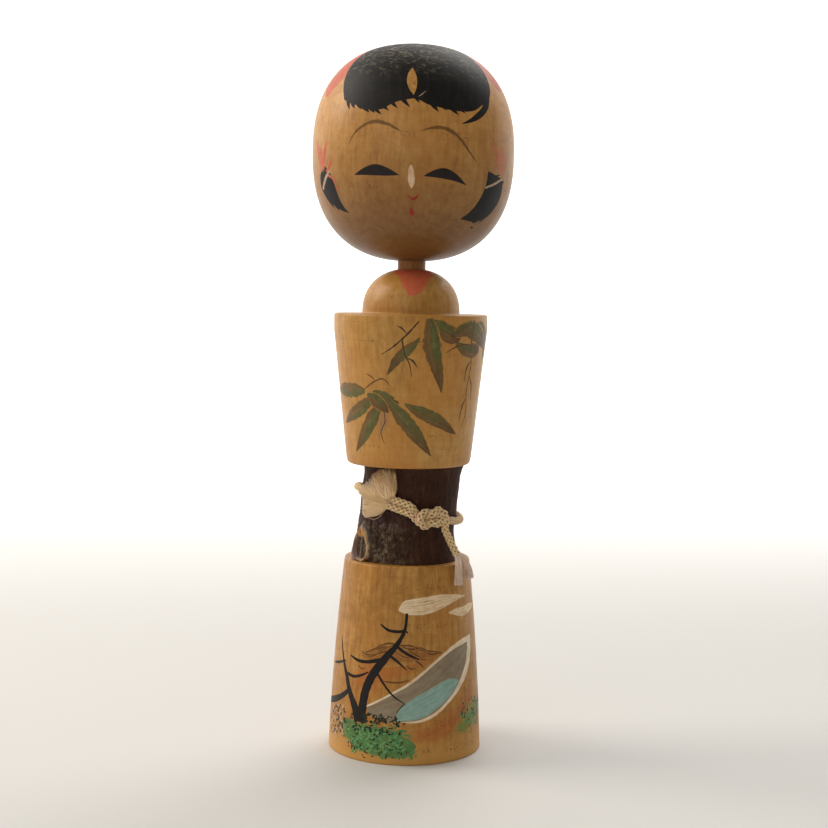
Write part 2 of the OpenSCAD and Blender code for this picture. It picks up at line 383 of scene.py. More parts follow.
def woodNodes(tree, look):
    # faint growth rings about a pith line beside the axis, fine fibre and short golden flecks along the
    # trunk, broad mottling, lathe lines with rows of specks, small knots, and a tint low down, which on the
    # head is partly a stain and partly painted shade
    shares = woodShares
    place = objectPlace(tree)

    def pattern(scale, stretch, *settings, shift=look["shift"]):
        return noise(tree, placed(tree, place, stretch, shift), scale, *settings)

    def over(base, mask, share, tint):
        return tinted(tree, base, mask, share, look[tint])

    trunk = placed(tree, place, shift=look["pith"], turn=look["lean"])
    sway = noise(tree, placed(tree, trunk, (1, 1, 0.3), look["shift"]), 42, 2)
    sway = addNode(tree, "ShaderNodeVectorMath", {0: sway, 1: (0.006, 0.005, 0)}, operation="MULTIPLY")
    trunk = addNode(tree, "ShaderNodeVectorMath", {0: trunk, 1: sway.outputs[0]},
                    operation="ADD").outputs[0]
    rings = addNode(tree, "ShaderNodeTexWave", {"Vector": trunk, "Scale": look["rings"], "Distortion": 1.6,
                    "Detail": 2.0, "Detail Scale": 0.6, "Detail Roughness": 0.5}, wave_type="RINGS",
                    rings_direction="Z", wave_profile="SIN").outputs[1]
    late = ramp(tree, rings, [(0.0, 0.0), (0.55, 0.12), (0.88, 0.75), (1.0, 1.0)])
    fibre = noise(tree, placed(tree, trunk, (1, 1, 0.035)), 1100, 3, 0.6)
    fleck = pattern(620, (1, 1, 0.16), 3, 0.65, 0.4)
    broad = pattern(34, (1, 1, 0.45), 3, 0.6)
    curl = pattern(190, (0.8, 0.8, 1.2), 4, 0.65, 1.2)
    lathe = pattern(1400, (0.02, 0.02, 1), 2, shift=(0, 0, 0))
    tone = times(tree, late, look["ringShare"])
    for part, share in ((fibre, shares["fibre"]), (fleck, look["flecks"]), (broad, shares["broad"]),
                        (curl, shares["curl"]), (lathe, shares["lathe"])):
        tone = plus(tree, tone, swing(tree, part, share * shares["contrast"]))
    base = ramp(tree, plus(tree, tone, shares["start"]), [(0.0, colour(look["light"])),
                (0.45, colour(look["mid"])), (1.0, colour(look["dark"]))])
    smudge = ramp(tree, pattern(300, (1, 1, 0.45), 4, 0.6, 0.5), [(0.56, 0.0), (0.74, 1.0)])
    base = over(base, smudge, shares["smudge"], "dark")
    warm = ramp(tree, pattern(52, (1, 1, 0.6), 3), [(0.46, 0.0), (0.72, 1.0)])
    base = over(base, warm, shares["warm"], "warm")
    # a tint low down: on the head it is partly a stain and partly painted shade
    lowTintMask = spread(tree, axes(tree, place)[2], look["lowTintTop"], look["lowTintLow"], kind="SMOOTHSTEP")
    base = over(base, lowTintMask, shares["lowTint"], "lowTint")
    band = ramp(tree, pattern(330, (0.02, 0.02, 1), 1), [(0.55, 0.0), (0.63, 1.0)])
    speck = ramp(tree, pattern(1250, (1, 1, 1.6), 2, 0.6, shift=(0, 0, 0)), [(0.57, 0.0), (0.66, 1.0)])
    patch = ramp(tree, noise(tree, place, 70, 2), [(0.43, 0.0), (0.54, 1.0)])
    base = over(base, times(tree, times(tree, band, speck), patch), shares["specks"], "knot")
    spot = addNode(tree, "ShaderNodeTexVoronoi", {"Vector": placed(tree, place, (1, 1, 0.6), look["shift"]),
                   "Scale": 26.0, "Randomness": 1.0}).outputs[0]
    knots = ramp(tree, spot, [(0.03, 1.0), (0.08, 0.35), (0.15, 0.0)])
    base = over(base, knots, shares["knots"], "knot")
    rise = plus(tree, times(tree, fibre, 0.4), times(tree, curl, 1.0))
    return base, rise


varnish = dict(Coat_Weight=0.20, Coat_Roughness=0.28, Coat_IOR=1.5, Specular_IOR_Level=0.25)


def varnishedWood(name, look):
    # the wood under a thin varnish that is worn duller in patches
    material, tree, shader = newMaterial(name)
    base, height = woodNodes(tree, look)
    place = objectPlace(tree)
    worn = ramp(tree, noise(tree, place, 60, 4, 0.6), [(0.3, 0.42), (0.75, 0.58)])
    setShader(tree, shader, base, worn, height, 0.0002, 0.35, **varnish)
    return material


def bareWood(name, look):
    material, tree, shader = newMaterial(name)
    base, height = woodNodes(tree, look)
    setShader(tree, shader, base, 0.72, height, 0.0002, 0.5)
    return material


headMaterial = varnishedWood("varnished_head_wood", headWood)
torsoMaterial = varnishedWood("varnished_torso_wood", torsoWood)
skirtMaterial = varnishedWood("varnished_skirt_wood", skirtWood)
dowelMaterial = bareWood("bare_dowel_wood", torsoWood)
shadedPegMaterial = varnishedWood("varnished_peg_wood_painted_shade", shadedPegWood)
print("woods ready")


def edgeArc(radius, z, size, start, end, steps=7):
    # a rounded edge: part of a circle about a point of the profile
    a = np.radians(np.linspace(start, end, steps))
    return np.stack([radius + size * np.cos(a), z + size * np.sin(a)], -1)


def bore(radius, bottom, mouth):
    # a blind hole's profile, from the middle of its bottom to its mouth
    return [[0, bottom], [radius, bottom], [radius, mouth]]


def addSkirt():
    # the turned outline: flat foot, rounded edge, tapered side, rounded top edge, ledge and dowel bore
    z = np.linspace(0, skirt["top"], 44)[1:-1]
    e = skirt["edge"]
    foot = edgeArc(skirt["footRadius"] - e, e, e, -90, 0)
    top = edgeArc(skirt["topRadius"] - e, skirt["top"] - e, e, 0, 90)
    hole = bore(skirt["boreRadius"], skirt["top"] - skirt["boreDepth"], skirt["top"])[::-1]
    flat = [[r, 0] for r in np.linspace(0, skirt["footRadius"] - e, 8)[:-1]]
    ledge = [[r, skirt["top"]] for r in np.linspace(skirt["topRadius"] - e, skirt["boreRadius"], 8)[1:-1]]
    side = np.stack([skirtRadius(z), z], -1)
    piece = addTurned("skirt_wood", np.concatenate([flat, foot, side, top, ledge, hole]), skirtMaterial)
    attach(piece, "body")
    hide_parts("skirt_block")


def addTorso():
    # the turned outline from the dowel bore out over the foot, up the side and in over the shoulder, then
    # a small fillet up to the dome, and in at the peg's bore
    e, s, f = torso["waistEdge"], torso["shoulderEdge"], torso["domeFillet"]
    z = np.linspace(torso["foot"] + e, torso["shoulder"] - s, 48)[1:-1]
    hole = bore(skirt["boreRadius"], torso["foot"] + torso["boreDepth"], torso["foot"])
    base = [[r, torso["foot"]] for r in np.linspace(skirt["boreRadius"], torso["waistRadius"] - e, 8)[1:-1]]
    low = edgeArc(torso["waistRadius"] - e, torso["foot"] + e, e, -90, 0)
    side = np.stack([torsoRadius(z), z], -1)
    high = edgeArc(torso["topRadius"] - s, torso["shoulder"] - s, s, 0, 90)
    ledge = [[r, torso["shoulder"]] for r in
             np.linspace(torso["topRadius"] - s, torso["domeRadius"] + f, 8)[1:]]
    fillet = edgeArc(torso["domeRadius"] + f, torso["shoulder"] + f, f, 270, 190, 6)[1:]
    lat = np.radians(np.linspace(3, 90, 40))
    power = 2 / torso["domePower"]
    dome = np.stack([torso["domeRadius"] * np.cos(lat) ** power,
                     torso["shoulder"] + torso["domeHeight"] * np.sin(lat) ** power], -1)
    # from above the fillet to the mouth of the peg's bore
    dome = dome[(dome[:, 0] > head["boreRadius"]) & (dome[:, 1] > torso["shoulder"] + 0.8 * mm)]
    mouth = dome[-1, 1]
    peg = bore(head["boreRadius"], torsoHigh.z - torso["boreDepth"], mouth)[::-1]
    piece = addTurned("torso_wood", np.concatenate([hole, base, low, side, high, ledge, fillet, dome, peg]),
                      torsoMaterial)
    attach(piece, "body")
    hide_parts("torso_block")


def headPoint(lat, lift=0.0):
    # radius and height on the head at a latitude of its squarish ellipse, lifted square to the surface
    lat = np.asarray(lat, float)
    power = 2 / head["power"]
    c, s = np.maximum(np.cos(lat), 1e-9), np.maximum(np.abs(np.sin(lat)), 1e-9)
    r, h = head["radius"] * c ** power, head["half"] * np.sign(np.sin(lat)) * s ** power
    nr = (r / head["radius"]) ** (head["power"] - 1) / head["radius"]
    nz = np.sign(h) * (np.abs(h) / head["half"]) ** (head["power"] - 1) / head["half"]
    size = np.hypot(nr, nz)
    return r + lift * nr / size, head["centre"] + h + lift * nz / size


def latitudeOf(z):
    # the latitude at which the head has this height
    t = (np.asarray(z, float) - head["centre"]) / head["half"]
    return np.sign(t) * np.arcsin(np.clip(np.abs(t), 0, 1) ** (head["power"] / 2))


def addHead():
    # the peg's bore, then the squarish ellipse from the bore's mouth to the crown
    r, z = headPoint(np.radians(np.linspace(-90, 90, 150)))
    outline = np.stack([r, z], -1)
    outline[-1, 0] = 0
    outline = outline[(outline[:, 0] > head["boreRadius"]) | (outline[:, 1] > head["centre"])]
    bottom = head["centre"] - head["half"] + head["boreDepth"]
    hole = bore(head["boreRadius"], bottom, outline[0, 1])
    piece = addTurned("head_wood", np.concatenate([hole, outline]), headMaterial, 256)
    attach(piece, "head")
    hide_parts("head")


peg = dict(chamfer=0.6 * mm)


def addPeg():
    # a round rod with a small chamfer at each end
    r, c = pegHigh.x, peg["chamfer"]
    z = np.linspace(pegLow.z + c, pegHigh.z - c, 12)
    profile = [[0, pegLow.z], [r - c, pegLow.z]] + [[r, h] for h in z]
    profile += [[r - c, pegHigh.z], [0, pegHigh.z]]
    piece = addTurned("neck_peg_wood", profile, shadedPegMaterial, 96)
    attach(piece, "body")
    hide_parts("neck_peg")


addSkirt()
addTorso()
addHead()
addPeg()
for name in ("lower_dowel", "upper_dowel"):
    for place in range(len(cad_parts[name].data.materials)):
        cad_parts[name].data.materials[place] = dowelMaterial
print("turned blocks ready")


stub = dict(turn=-61.8, height=3.4 * mm, half=5.6 * mm, up=9.0 * mm, down=4.6 * mm, proud=1.5 * mm,
            edge=1.12, rim=0.84, rimWidth=0.12, hollow=0.62, hollowTop=4.6 * mm, hollowDepth=1.7 * mm,
            ridge=1.2 * mm, ridgeWidth=0.75 * mm, ridgeShift=0.4 * mm, grain=0.16)


bark = dict(columns=440, rows=150, fissure=0.30, fine=0.24, plates=0.26, pits=0.34, calm=0.40, rough=1.3,
            roughTurn=-42, roughWidth=38, roughHeight=9 * mm, roughTall=8 * mm, rim=0.6 * mm, sunk=0.1 * mm)


def addBark():
    # the bark's skin on a grid of azimuth and height, pushed out and in by stretched noise: long
    # fissures up the branch, plates between them, and a rougher patch round the twig's scar
    cols, rows = bark["columns"], bark["rows"]
    azimuth = np.linspace(-180, 180, cols, endpoint=False)[None, :]
    height = np.linspace(0, waist["height"], rows)[:, None]
    x, y = azimuth / 360 * 60 + 0 * height, height / mm + 0 * azimuth
    fissure = 1 - np.abs(2 * softNoise(x, y * 0.16, 3, 60) - 1)
    fine = softNoise(x * 3 % 60, y * 0.9, 4)
    plates = softNoise(x * 0.5 % 30, y * 0.3, 5)
    pits = softNoise(x * 1.5 % 60, y * 1.1, 7)
    aside = (azimuth - bark["roughTurn"]) / bark["roughWidth"]
    above = (height - bark["roughHeight"]) / bark["roughTall"]
    rough = bark["calm"] + bark["rough"] * np.exp(-aside ** 2 - above ** 2)
    push = rough * (-bark["fissure"] * fissure ** 3 + bark["fine"] * (fine - 0.5)
                    + bark["plates"] * (plates - 0.5)) * mm
    push = push + (rough - bark["calm"]) * bark["pits"] * (pits - 0.5) * mm
    rim = np.minimum(height, waist["height"] - height)
    push = push * np.clip(rim / bark["rim"], 0.3, 1) - bark["sunk"]
    outer = roundPoint(azimuth, barkRadius(azimuth, height) + push, waist["foot"] + height)
    inner = roundPoint(azimuth, barkRadius(azimuth, height) - waist["bark"], waist["foot"] + height)
    inner = inner[[0, rows // 4, rows // 2, 3 * rows // 4, rows - 1]]
    ring = np.concatenate([outer.reshape(-1, 3), inner.reshape(-1, 3)])
    faces = gridQuads(rows, cols, True).tolist()
    faces += (gridQuads(5, cols, True)[:, ::-1] + rows * cols).tolist()
    k = np.arange(cols)
    n = (k + 1) % cols
    top, low = (rows - 1) * cols, rows * cols
    faces += np.stack([k + low, n + low, n, k], -1).tolist()
    faces += np.stack([k + top, n + top, n + low + 4 * cols, k + low + 4 * cols], -1).tolist()
    # how far each point is pushed in, which the material turns into painted shade
    depth = np.concatenate([(push / mm).ravel(), np.full(5 * cols, -1.0)])
    piece = addMesh("branch_bark", ring, faces, None, barkMaterial())
    keepValue(piece, "depth", depth)
    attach(piece, "body")
    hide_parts("waist_bark")


def barkMaterial():
    material, tree, shader = newMaterial("old_bark")
    place = objectPlace(tree)
    depth = pointValue(tree, "depth")
    streak = noise(tree, placed(tree, place, (1, 1, 0.25)), 420, 4, 0.65)
    mottle = noise(tree, placed(tree, place, shift=(0.4, 0.2, 0.1)), 230, 4, 0.6)
    fleck = ramp(tree, noise(tree, placed(tree, place, (1, 1, 0.6), (0.1, 0.7, 0)), 760, 3, 0.6),
                 [(0.60, 0.0), (0.72, 1.0)])
    base = ramp(tree, streak, [(0.25, colour((44, 24, 16))), (0.55, colour((70, 42, 28))),
                               (0.85, colour((92, 60, 42)))])
    # rough, worn bark on the left and low down: grey and tan flecks, with a purple cast near the twig
    spot = axes(tree, place)
    left = spread(tree, spot[0], 4 * mm, -8 * mm)
    low = spread(tree, spot[2], 86.5 * mm, 80 * mm)
    grit = noise(tree, placed(tree, place, (1, 1, 0.9), (0.3, 0.1, 0)), 760, 4, 0.7, 0.8)
    gritty = ramp(tree, grit, [(0.44, 0.0), (0.60, 1.0)])
    worn = times(tree, times(tree, left, low), gritty)
    worn = times(tree, worn, ramp(tree, mottle, [(0.36, 0.25), (0.58, 1.0)]))
    high = spread(tree, spot[2], 78 * mm, 82 * mm)
    grey = mixed(tree, high, colour((128, 116, 92)), colour((108, 84, 112)))
    base = mixed(tree, times(tree, worn, 0.85), base, grey)
    base = tinted(tree, base, fleck, 0.30, (122, 98, 74))
    # painted shade: darker where the skin is pushed in, in the fissures and pits, and dark on the inside
    hollow = spread(tree, depth, 0.0, -0.35)
    base = tinted(tree, base, hollow, 0.55, (22, 12, 8))
    height = plus(tree, streak, times(tree, mottle, 0.6))
    setShader(tree, shader, base, 0.72, height, 0.0006, 0.7, Specular_IOR_Level=0.15)
    return material


addBark()


def addBranchCore():
    # the wood inside the bark: the bark's outline drawn in, with a dowel hole at each end
    cols, rows = 96, 24
    azimuth = np.linspace(-180, 180, cols, endpoint=False)[None, :]
    height = np.linspace(0, waist["height"], rows)[:, None]
    skin = roundPoint(azimuth, barkRadius(azimuth, height) - waist["bark"], waist["foot"] + height)
    z0, z1 = waist["foot"], waist["foot"] + waist["height"]
    hole, deep, middle = skirt["boreRadius"], skirt["boreDepth"], 0.02 * mm
    rings = [skin[i] for i in range(rows)]
    rings += [roundPoint(azimuth[0], r, z) for r, z in ((hole, z1), (hole, z1 - deep), (middle, z1 - deep))]
    upper = np.concatenate(rings)
    faces = gridQuads(rows + 3, cols, True).tolist() + [list(range((rows + 2) * cols, (rows + 3) * cols))]
    lower = np.concatenate([roundPoint(azimuth[0], r, z) for r, z in
                            ((hole, z0), (hole, z0 + deep), (middle, z0 + deep))])
    start = len(upper)
    k = np.arange(cols)
    n = (k + 1) % cols
    faces += np.stack([k + start, n + start, n, k], -1).tolist()
    faces += (gridQuads(3, cols, True)[:, ::-1] + start).tolist()
    faces += [list(range(start + 3 * cols - 1, start + 2 * cols - 1, -1))]
    piece = addMesh("branch_core", np.concatenate([upper, lower]), faces, None,
                    bareWood("bare_branch_wood", torsoWood))
    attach(piece, "body")
    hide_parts("waist_branch")


def addTwigScar():
    # the cut twig's scar: rings from its rim to its middle, shaped as a pointed arch that stands on the
    # skirt; it rises to a callus rim, falls into a split hollow and keeps a ridge of wood down its middle
    cols, rows = 120, 46
    angle = np.linspace(0, 2 * np.pi, cols, endpoint=False)[None, :]
    out = np.linspace(stub["edge"], 0.0, rows)[:, None]
    up = np.sin(angle)
    wide = stub["half"] * np.cos(angle) * np.where(up > 0, 1 - 0.40 * np.maximum(up, 0) ** 1.6, 1)
    tall = np.where(up > 0, stub["up"] * up, stub["down"] * up)
    wave = 1 + 0.07 * (softNoise(angle / (2 * np.pi) * 12, out * 3, 11, 12) - 0.5)
    u, v = wide * out * wave, tall * out * wave
    rim = np.exp(-((out - stub["rim"]) / stub["rimWidth"]) ** 2)
    # the hollow starts below the callus under the arch's point
    lowEnough = 1 / (1 + np.exp((v - stub["hollowTop"]) / (0.45 * mm)))
    pit = lowEnough / (1 + np.exp((out - stub["hollow"]) / 0.045))
    ridge = np.exp(-((u + stub["ridgeShift"]) / stub["ridgeWidth"]) ** 2) * pit
    rise = np.clip((stub["edge"] - out) / 0.24, 0, 1)
    grain = stub["grain"] * (softNoise(angle / (2 * np.pi) * 36, out * 4, 12, 36) - 0.5)
    lift = (stub["proud"] * (rise * 0.5 + rim * 0.55 * (1 - 0.35 * up)) - pit * stub["hollowDepth"]
            + ridge * stub["ridge"] + grain * mm)
    height = np.clip(stub["height"] + v, 0.12 * mm, None)
    azimuth = stub["turn"] + np.degrees(u / (17.6 * mm))
    points = roundPoint(azimuth, barkRadius(azimuth, height) + lift - 0.25 * mm, waist["foot"] + height)
    back = roundPoint(azimuth[:1], barkRadius(azimuth[:1], height[:1]) - waist["bark"],
                      waist["foot"] + height[:1])
    grid = np.concatenate([back, points[:-1]]).reshape(-1, 3)
    middle = points[-1].mean(0)[None]
    deep = roundPoint(stub["turn"], barkRadius(stub["turn"], stub["height"]) - waist["bark"],
                      waist["foot"] + stub["height"])[None]
    faces = gridQuads(rows, cols, True)[:, ::-1].tolist()
    k = np.arange(cols)
    n = (k + 1) % cols
    last, centre = (rows - 1) * cols, rows * cols
    faces += np.stack([n + last, np.full(cols, centre), k + last], -1)[:, ::-1].tolist()
    faces += np.stack([k, np.full(cols, centre + 1), n], -1)[:, ::-1].tolist()
    # the hollow's depth, carried in the uv for the material's painted shade
    hollow = np.concatenate([0 * out[:1] + 0 * angle, (pit - ridge * 0.75 + 0 * angle)[:-1]])
    across = np.concatenate([out[:1] + 0 * angle, (out + 0 * angle)[:-1]])
    uv = np.concatenate([np.stack([across, hollow], -1).reshape(-1, 2), [[0, 1], [1.2, 0]]])
    piece = addMesh("cut_twig", np.concatenate([grid, middle, deep]), faces, uv, scarMaterial())
    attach(piece, "body")


def scarMaterial():
    # pale callus inside a dark edge, amber under the arch's point and darker in the hollow as painted
    # shade; on the side away from the front the callus is a purplish brown
    material, tree, shader = newMaterial("twig_scar")
    place = objectPlace(tree)
    uv = axes(tree, uvPlace(tree))
    streak = noise(tree, placed(tree, place, (1, 1, 0.18)), 900, 4, 0.65)
    out = plus(tree, uv[0], swing(tree, noise(tree, place, 500, 3), 0.22))
    turned = spread(tree, axes(tree, place)[1], -11.5 * mm, -7 * mm)
    callus = mixed(tree, turned, colour((196, 160, 116)), colour((134, 102, 88)))
    ring = mixed(tree, ramp(tree, out, [(0.90, 0.0), (1.0, 1.0)]), callus, colour((52, 36, 28)))
    top = spread(tree, axes(tree, place)[2], 74.0 * mm, 75.4 * mm)
    base = tinted(tree, ring, top, ramp(tree, out, [(0.84, 1.0), (0.92, 0.0)]), (184, 128, 56))
    # painted shade: darker down in the split hollow
    base = mixed(tree, ramp(tree, uv[1], [(0.12, 0.0), (0.6, 1.0)]), base, colour((40, 24, 20)))
    base = mixed(tree, ramp(tree, streak, [(0.42, 0.0), (0.66, 0.7)]), base, colour((66, 40, 26)))
    setShader(tree, shader, base, 0.6, streak, 0.0004, 0.7)
    return material


addBranchCore()
addTwigScar()
print("branch ready")


# azimuth in degrees, stand-off and height above the branch's foot in metres
loopRoute = np.array(
    [[40, 2.6, 15.3], [50, 1.8, 14.7], [62, 1.55, 14], [78, 1.55, 13.6], [95, 1.55, 13.6],
     [112, 1.55, 14], [129, 1.55, 14.8], [146, 1.55, 15.9], [163, 1.55, 17.2], [180, 1.55, 18.6],
     [197, 1.55, 20], [214, 1.55, 21.4], [231, 1.55, 22.6], [248, 1.55, 23.6], [265, 1.55, 24.3],
     [282, 1.55, 24.6], [298, 1.55, 24.5], [313, 1.55, 24.1], [327, 1.55, 23.5], [340, 1.55, 22.6],
     [352, 1.6, 21.5], [363, 1.9, 20.2]]) * [1, mm, mm]
endLeftRoute = np.array(
    [[364, 2, 17.5], [355, 1.6, 18.6], [346, 1.55, 19.5], [338, 1.55, 20.2]]) * [1, mm, mm]
endRightRoute = np.array(
    [[39, 3.5, 12], [42.5, 3.4, 10.2], [45, 3.1, 8.2], [47, 2, 6.2], [48.5, 1.3, 4.4],
     [49.5, 0.9, 3]]) * [1, mm, mm]

# one bight of the square knot, in cord diameters: along the knot, up, and out from the doll
knot = dict(azimuth=24.5, standOff=2.75 * mm, height=16.3 * mm, turn=8, along=0.84, up=0.74, out=0.95,
            reach=19.8 * mm)
bight = np.array(
    [[-1.70, -0.52, -0.40], [-0.80, -0.52, -0.12], [0.0, -0.74, 0.42], [0.78, -1.08, 0.16],
     [1.36, -1.02, -0.26], [1.76, -0.54, -0.45], [1.88, 0.0, -0.46], [1.76, 0.54, -0.45],
     [1.36, 1.02, -0.26], [0.78, 1.08, 0.16], [0.0, 0.74, 0.42], [-0.80, 0.52, -0.12],
     [-1.70, 0.52, -0.40]])


def knotRoute(points):
    # a bight's places turned about the knot's middle and laid round the waist
    u, v, w = (points * [knot["along"], knot["up"], knot["out"]]).T * cordSize["diameter"]
    a = math.radians(knot["turn"])
    across, up = u * math.cos(a) - v * math.sin(a), u * math.sin(a) + v * math.cos(a)
    return np.stack([knot["azimuth"] + np.degrees(across / knot["reach"]), knot["standOff"] + w,
                     knot["height"] + up], -1)


def restRadius(azimuth, height):
    # what the cord lies on: the bark, and lower down a blend towards the skirt's rim
    high, low = cordSize["leaveBark"] * mm, cordSize["clearRim"] * mm
    k = np.clip((high - height) / (high - low), 0, 1)
    return barkRadius(azimuth, height) * (1 - k) + skirt["topRadius"] * k


def onRest(route):
    # rows of azimuth, stand-off and height as points over what the cord lies on
    azimuth, standOff, height = route.T
    return roundPoint(azimuth, restRadius(azimuth, height) + standOff, waist["foot"] + height)


full = [360, 0, 0]
cordRoute = np.concatenate([endLeftRoute[::-1] - full, knotRoute(bight), (loopRoute - full)[::-1],
                            knotRoute(-bight), endRightRoute])
cordPath, cordLength = evenly(smoothLine(onRest(cordRoute), 2400), 0.25 * mm)
print("cord is", round(cordLength / mm, 1), "mm long")

braid = dict(strands=8, pitch=7.2 * mm, centre=0.76 * mm, weave=0.22 * mm, radius=0.43 * mm, sides=6)


def addCord():
    # two sets of strands wind opposite ways round the path, and each swings in and out once for every
    # two of the other set that it meets
    outward = unit(cordPath * [1, 1, 0])
    ahead = unit(np.gradient(cordPath, axis=0))
    side = unit(np.cross(ahead, outward))
    up = np.cross(side, ahead)
    s = np.linspace(0, cordLength, len(cordPath))
    half = braid["strands"] // 2
    paths = []
    for k in range(braid["strands"]):
        way = 1 if k < half else -1
        angle = way * 2 * np.pi * s / braid["pitch"] + 2 * np.pi * (k % half) / half
        reach = braid["centre"] + way * braid["weave"] * np.cos(8 * np.pi * s / braid["pitch"])
        paths.append(cordPath + side * (np.cos(angle) * reach)[:, None]
                     + up * (np.sin(angle) * reach)[:, None])
    paths = np.array(paths)
    radii = np.full(paths.shape[:2], braid["radius"])
    outward = np.broadcast_to(outward, paths.shape)
    piece = addTubes("sash_cord", paths, radii, braid["sides"], outward, cordMaterial())
    points = tubeGrid(paths, radii, braid["sides"], outward)
    # each point's distance from the cord's middle, for the painted shade between strands
    crest = np.linalg.norm(points - cordPath[None, :, None], axis=-1) / mm
    keepValue(piece, "crest", crest)
    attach(piece, "body")
    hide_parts("obi_loop", "obi_knot", "obi_end_left", "obi_end_right")
    return piece


def cordMaterial():
    material, tree, shader = newMaterial("braided_cord")
    place = objectPlace(tree)
    uv = uvPlace(tree)
    yarn = noise(tree, placed(tree, uv, (700, 9, 1)), 1.0, 3, 0.6)
    tint = noise(tree, place, 170, 3)
    base = ramp(tree, tint, [(0.3, colour((250, 230, 182))), (0.52, colour((244, 214, 154))),
                             (0.75, colour((246, 208, 174)))])
    base = mixed(tree, ramp(tree, yarn, [(0.35, 0.5), (0.6, 0.0)]), base, colour((176, 126, 70)))
    # painted shade: the hollows between strands are darker and golden
    crest = pointValue(tree, "crest")
    hollow = spread(tree, crest, 1.22, 0.86)
    base = tinted(tree, base, hollow, 0.9, (118, 70, 28))
    setShader(tree, shader, base, 0.6, yarn, 0.00012, 0.6, Sheen_Weight=0.3, Sheen_Roughness=0.5)
    return material


cordPiece = addCord()
print("cord ready")


def fibreMaterial(name, pale, deep, shade, dense=None):
    # each fibre has its own tint; dense is the tint of the closer-packed side of a fan
    material, tree, shader = newMaterial(name)
    uv = uvPlace(tree)
    tint = noise(tree, placed(tree, uv, (2.0, 0.0, 1)), 1.0, 2)
    one = noise(tree, placed(tree, uv, (0.73, 0.0, 1), (0.4, 0, 0)), 3.0, 0)
    base = ramp(tree, plus(tree, times(tree, tint, 0.5), times(tree, one, 0.5)),
                [(0.34, colour(shade)), (0.48, colour(deep)), (0.60, colour(pale))])
    if dense:
        share = pointValue(tree, "share")
        base = mixed(tree, ramp(tree, share, [(0.52, 0.0), (0.66, 0.75)]), base, colour(dense))
    setShader(tree, shader, base, 0.5, None, Sheen_Weight=0.6, Sheen_Roughness=0.4, Specular_IOR_Level=0.4)
    return material


# the fan's roots and tips, as azimuth and height above the branch's foot in millimetres
fan = dict(count=1000, rows=16, sides=3, thick=0.07 * mm, spill=0.025, bow=0.05, wave=0.012,
    ropeReach=2.9 * mm, ropeTop=3.05, roots=[[-14.2, 22.8], [-18, 21.2], [-22.6, 19.2]],
    tips=[[-14.5, 32.2], [-20, 32.4], [-27, 32.3], [-37, 31.4], [-49, 29.4], [-58, 26.6], [-63, 23.6],
        [-66, 20.4], [-66, 17.6], [-59, 15.2], [-49, 15.4]])


def addFan():
    # each fibre runs from a place on the root line to a place on the tip line, over the standing cord;
    # it has its own length, curl and layer
    n, rows = fan["count"], fan["rows"]
    share = np.clip(rng.beta(1.35, 0.95, n), 0, 1)
    spots = np.linspace(0, 1, 200)
    roots, tips = smoothLine(fan["roots"], 200), smoothLine(fan["tips"], 200)
    at = np.clip(share + rng.normal(0, fan["spill"], n), 0, 1)
    root = np.stack([np.interp(share, spots, roots[:, k]) for k in (0, 1)], -1)[:, None]
    tip = np.stack([np.interp(at, spots, tips[:, k]) for k in (0, 1)], -1)[:, None]
    s = np.linspace(0, 1, rows)[None, :, None]
    length = np.where(share > 0.6, rng.uniform(0.93, 1.03, n), rng.uniform(0.72, 1.04, n))[:, None, None]
    place = root + (tip - root) * s * length
    t = s[..., 0]
    bow = rng.normal(0, fan["bow"], n)[:, None] * np.sin(np.pi * t) + fan["wave"] * np.sin(
        t * rng.uniform(4, 10, n)[:, None] + rng.uniform(0, 6, n)[:, None])
    span = (tip - root)[:, 0]
    azimuth = place[..., 0] - bow * span[:, 1:] * 3.1
    height = (place[..., 1] + bow * span[:, :1] * 0.32) * mm
    layer = rng.uniform(0, 1, n)[:, None]
    order = np.argsort(loopRoute[:, 0])
    rope = np.interp(azimuth.ravel(), loopRoute[order, 0] - 360, loopRoute[order, 2]).reshape(azimuth.shape)
    over = np.exp(-((height - rope) / fan["ropeReach"]) ** 2)
    low = (0.45 + 0.7 * layer * (1 - 0.4 * t) + 1.3 * (1 - t) ** 2) * mm
    standOff = np.maximum(low, over * (fan["ropeTop"] + 0.4 * layer) * mm)
    standOff = standOff * (0.7 + 0.3 * np.clip(t * 9, 0, 1))
    height = np.clip(height, 1 * mm, waist["height"] - (0.35 + 0.5 * layer) * mm)
    paths = roundPoint(azimuth, barkRadius(azimuth, height) + standOff, waist["foot"] + height)
    radii = fan["thick"] * (1.2 - 0.5 * t) * rng.uniform(0.8, 1.3, n)[:, None]
    material = fibreMaterial("fan_fibre", (252, 228, 188), (214, 174, 120), (132, 92, 50), (232, 196, 142))
    piece = addTubes("sash_fan", paths, radii, fan["sides"], unit(paths * [1, 1, 0]), material)
    keepValue(piece, "share", np.repeat(share, rows * fan["sides"]))
    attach(piece, "body")
    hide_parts("tassel_left")
    return piece


frontBunch = np.array(
    [[48.6, 1.3, 3.8], [47.6, 2.0, 0.6], [46.8, 2.4, -3], [46.4, 2.7, -6.3]]) * [1, mm, mm]
rearBunch = np.array([[50.8, 1.3, 3.6], [56, 2.1, 1.2], [59.6, 2.6, -1.8], [61.4, 2.9, -4.8]]) * [1, mm, mm]
tassel = dict(count=260, rows=16, sides=3, root=0.8 * mm, tip=1.62 * mm, wobble=0.10 * mm,
              thick=0.085 * mm)


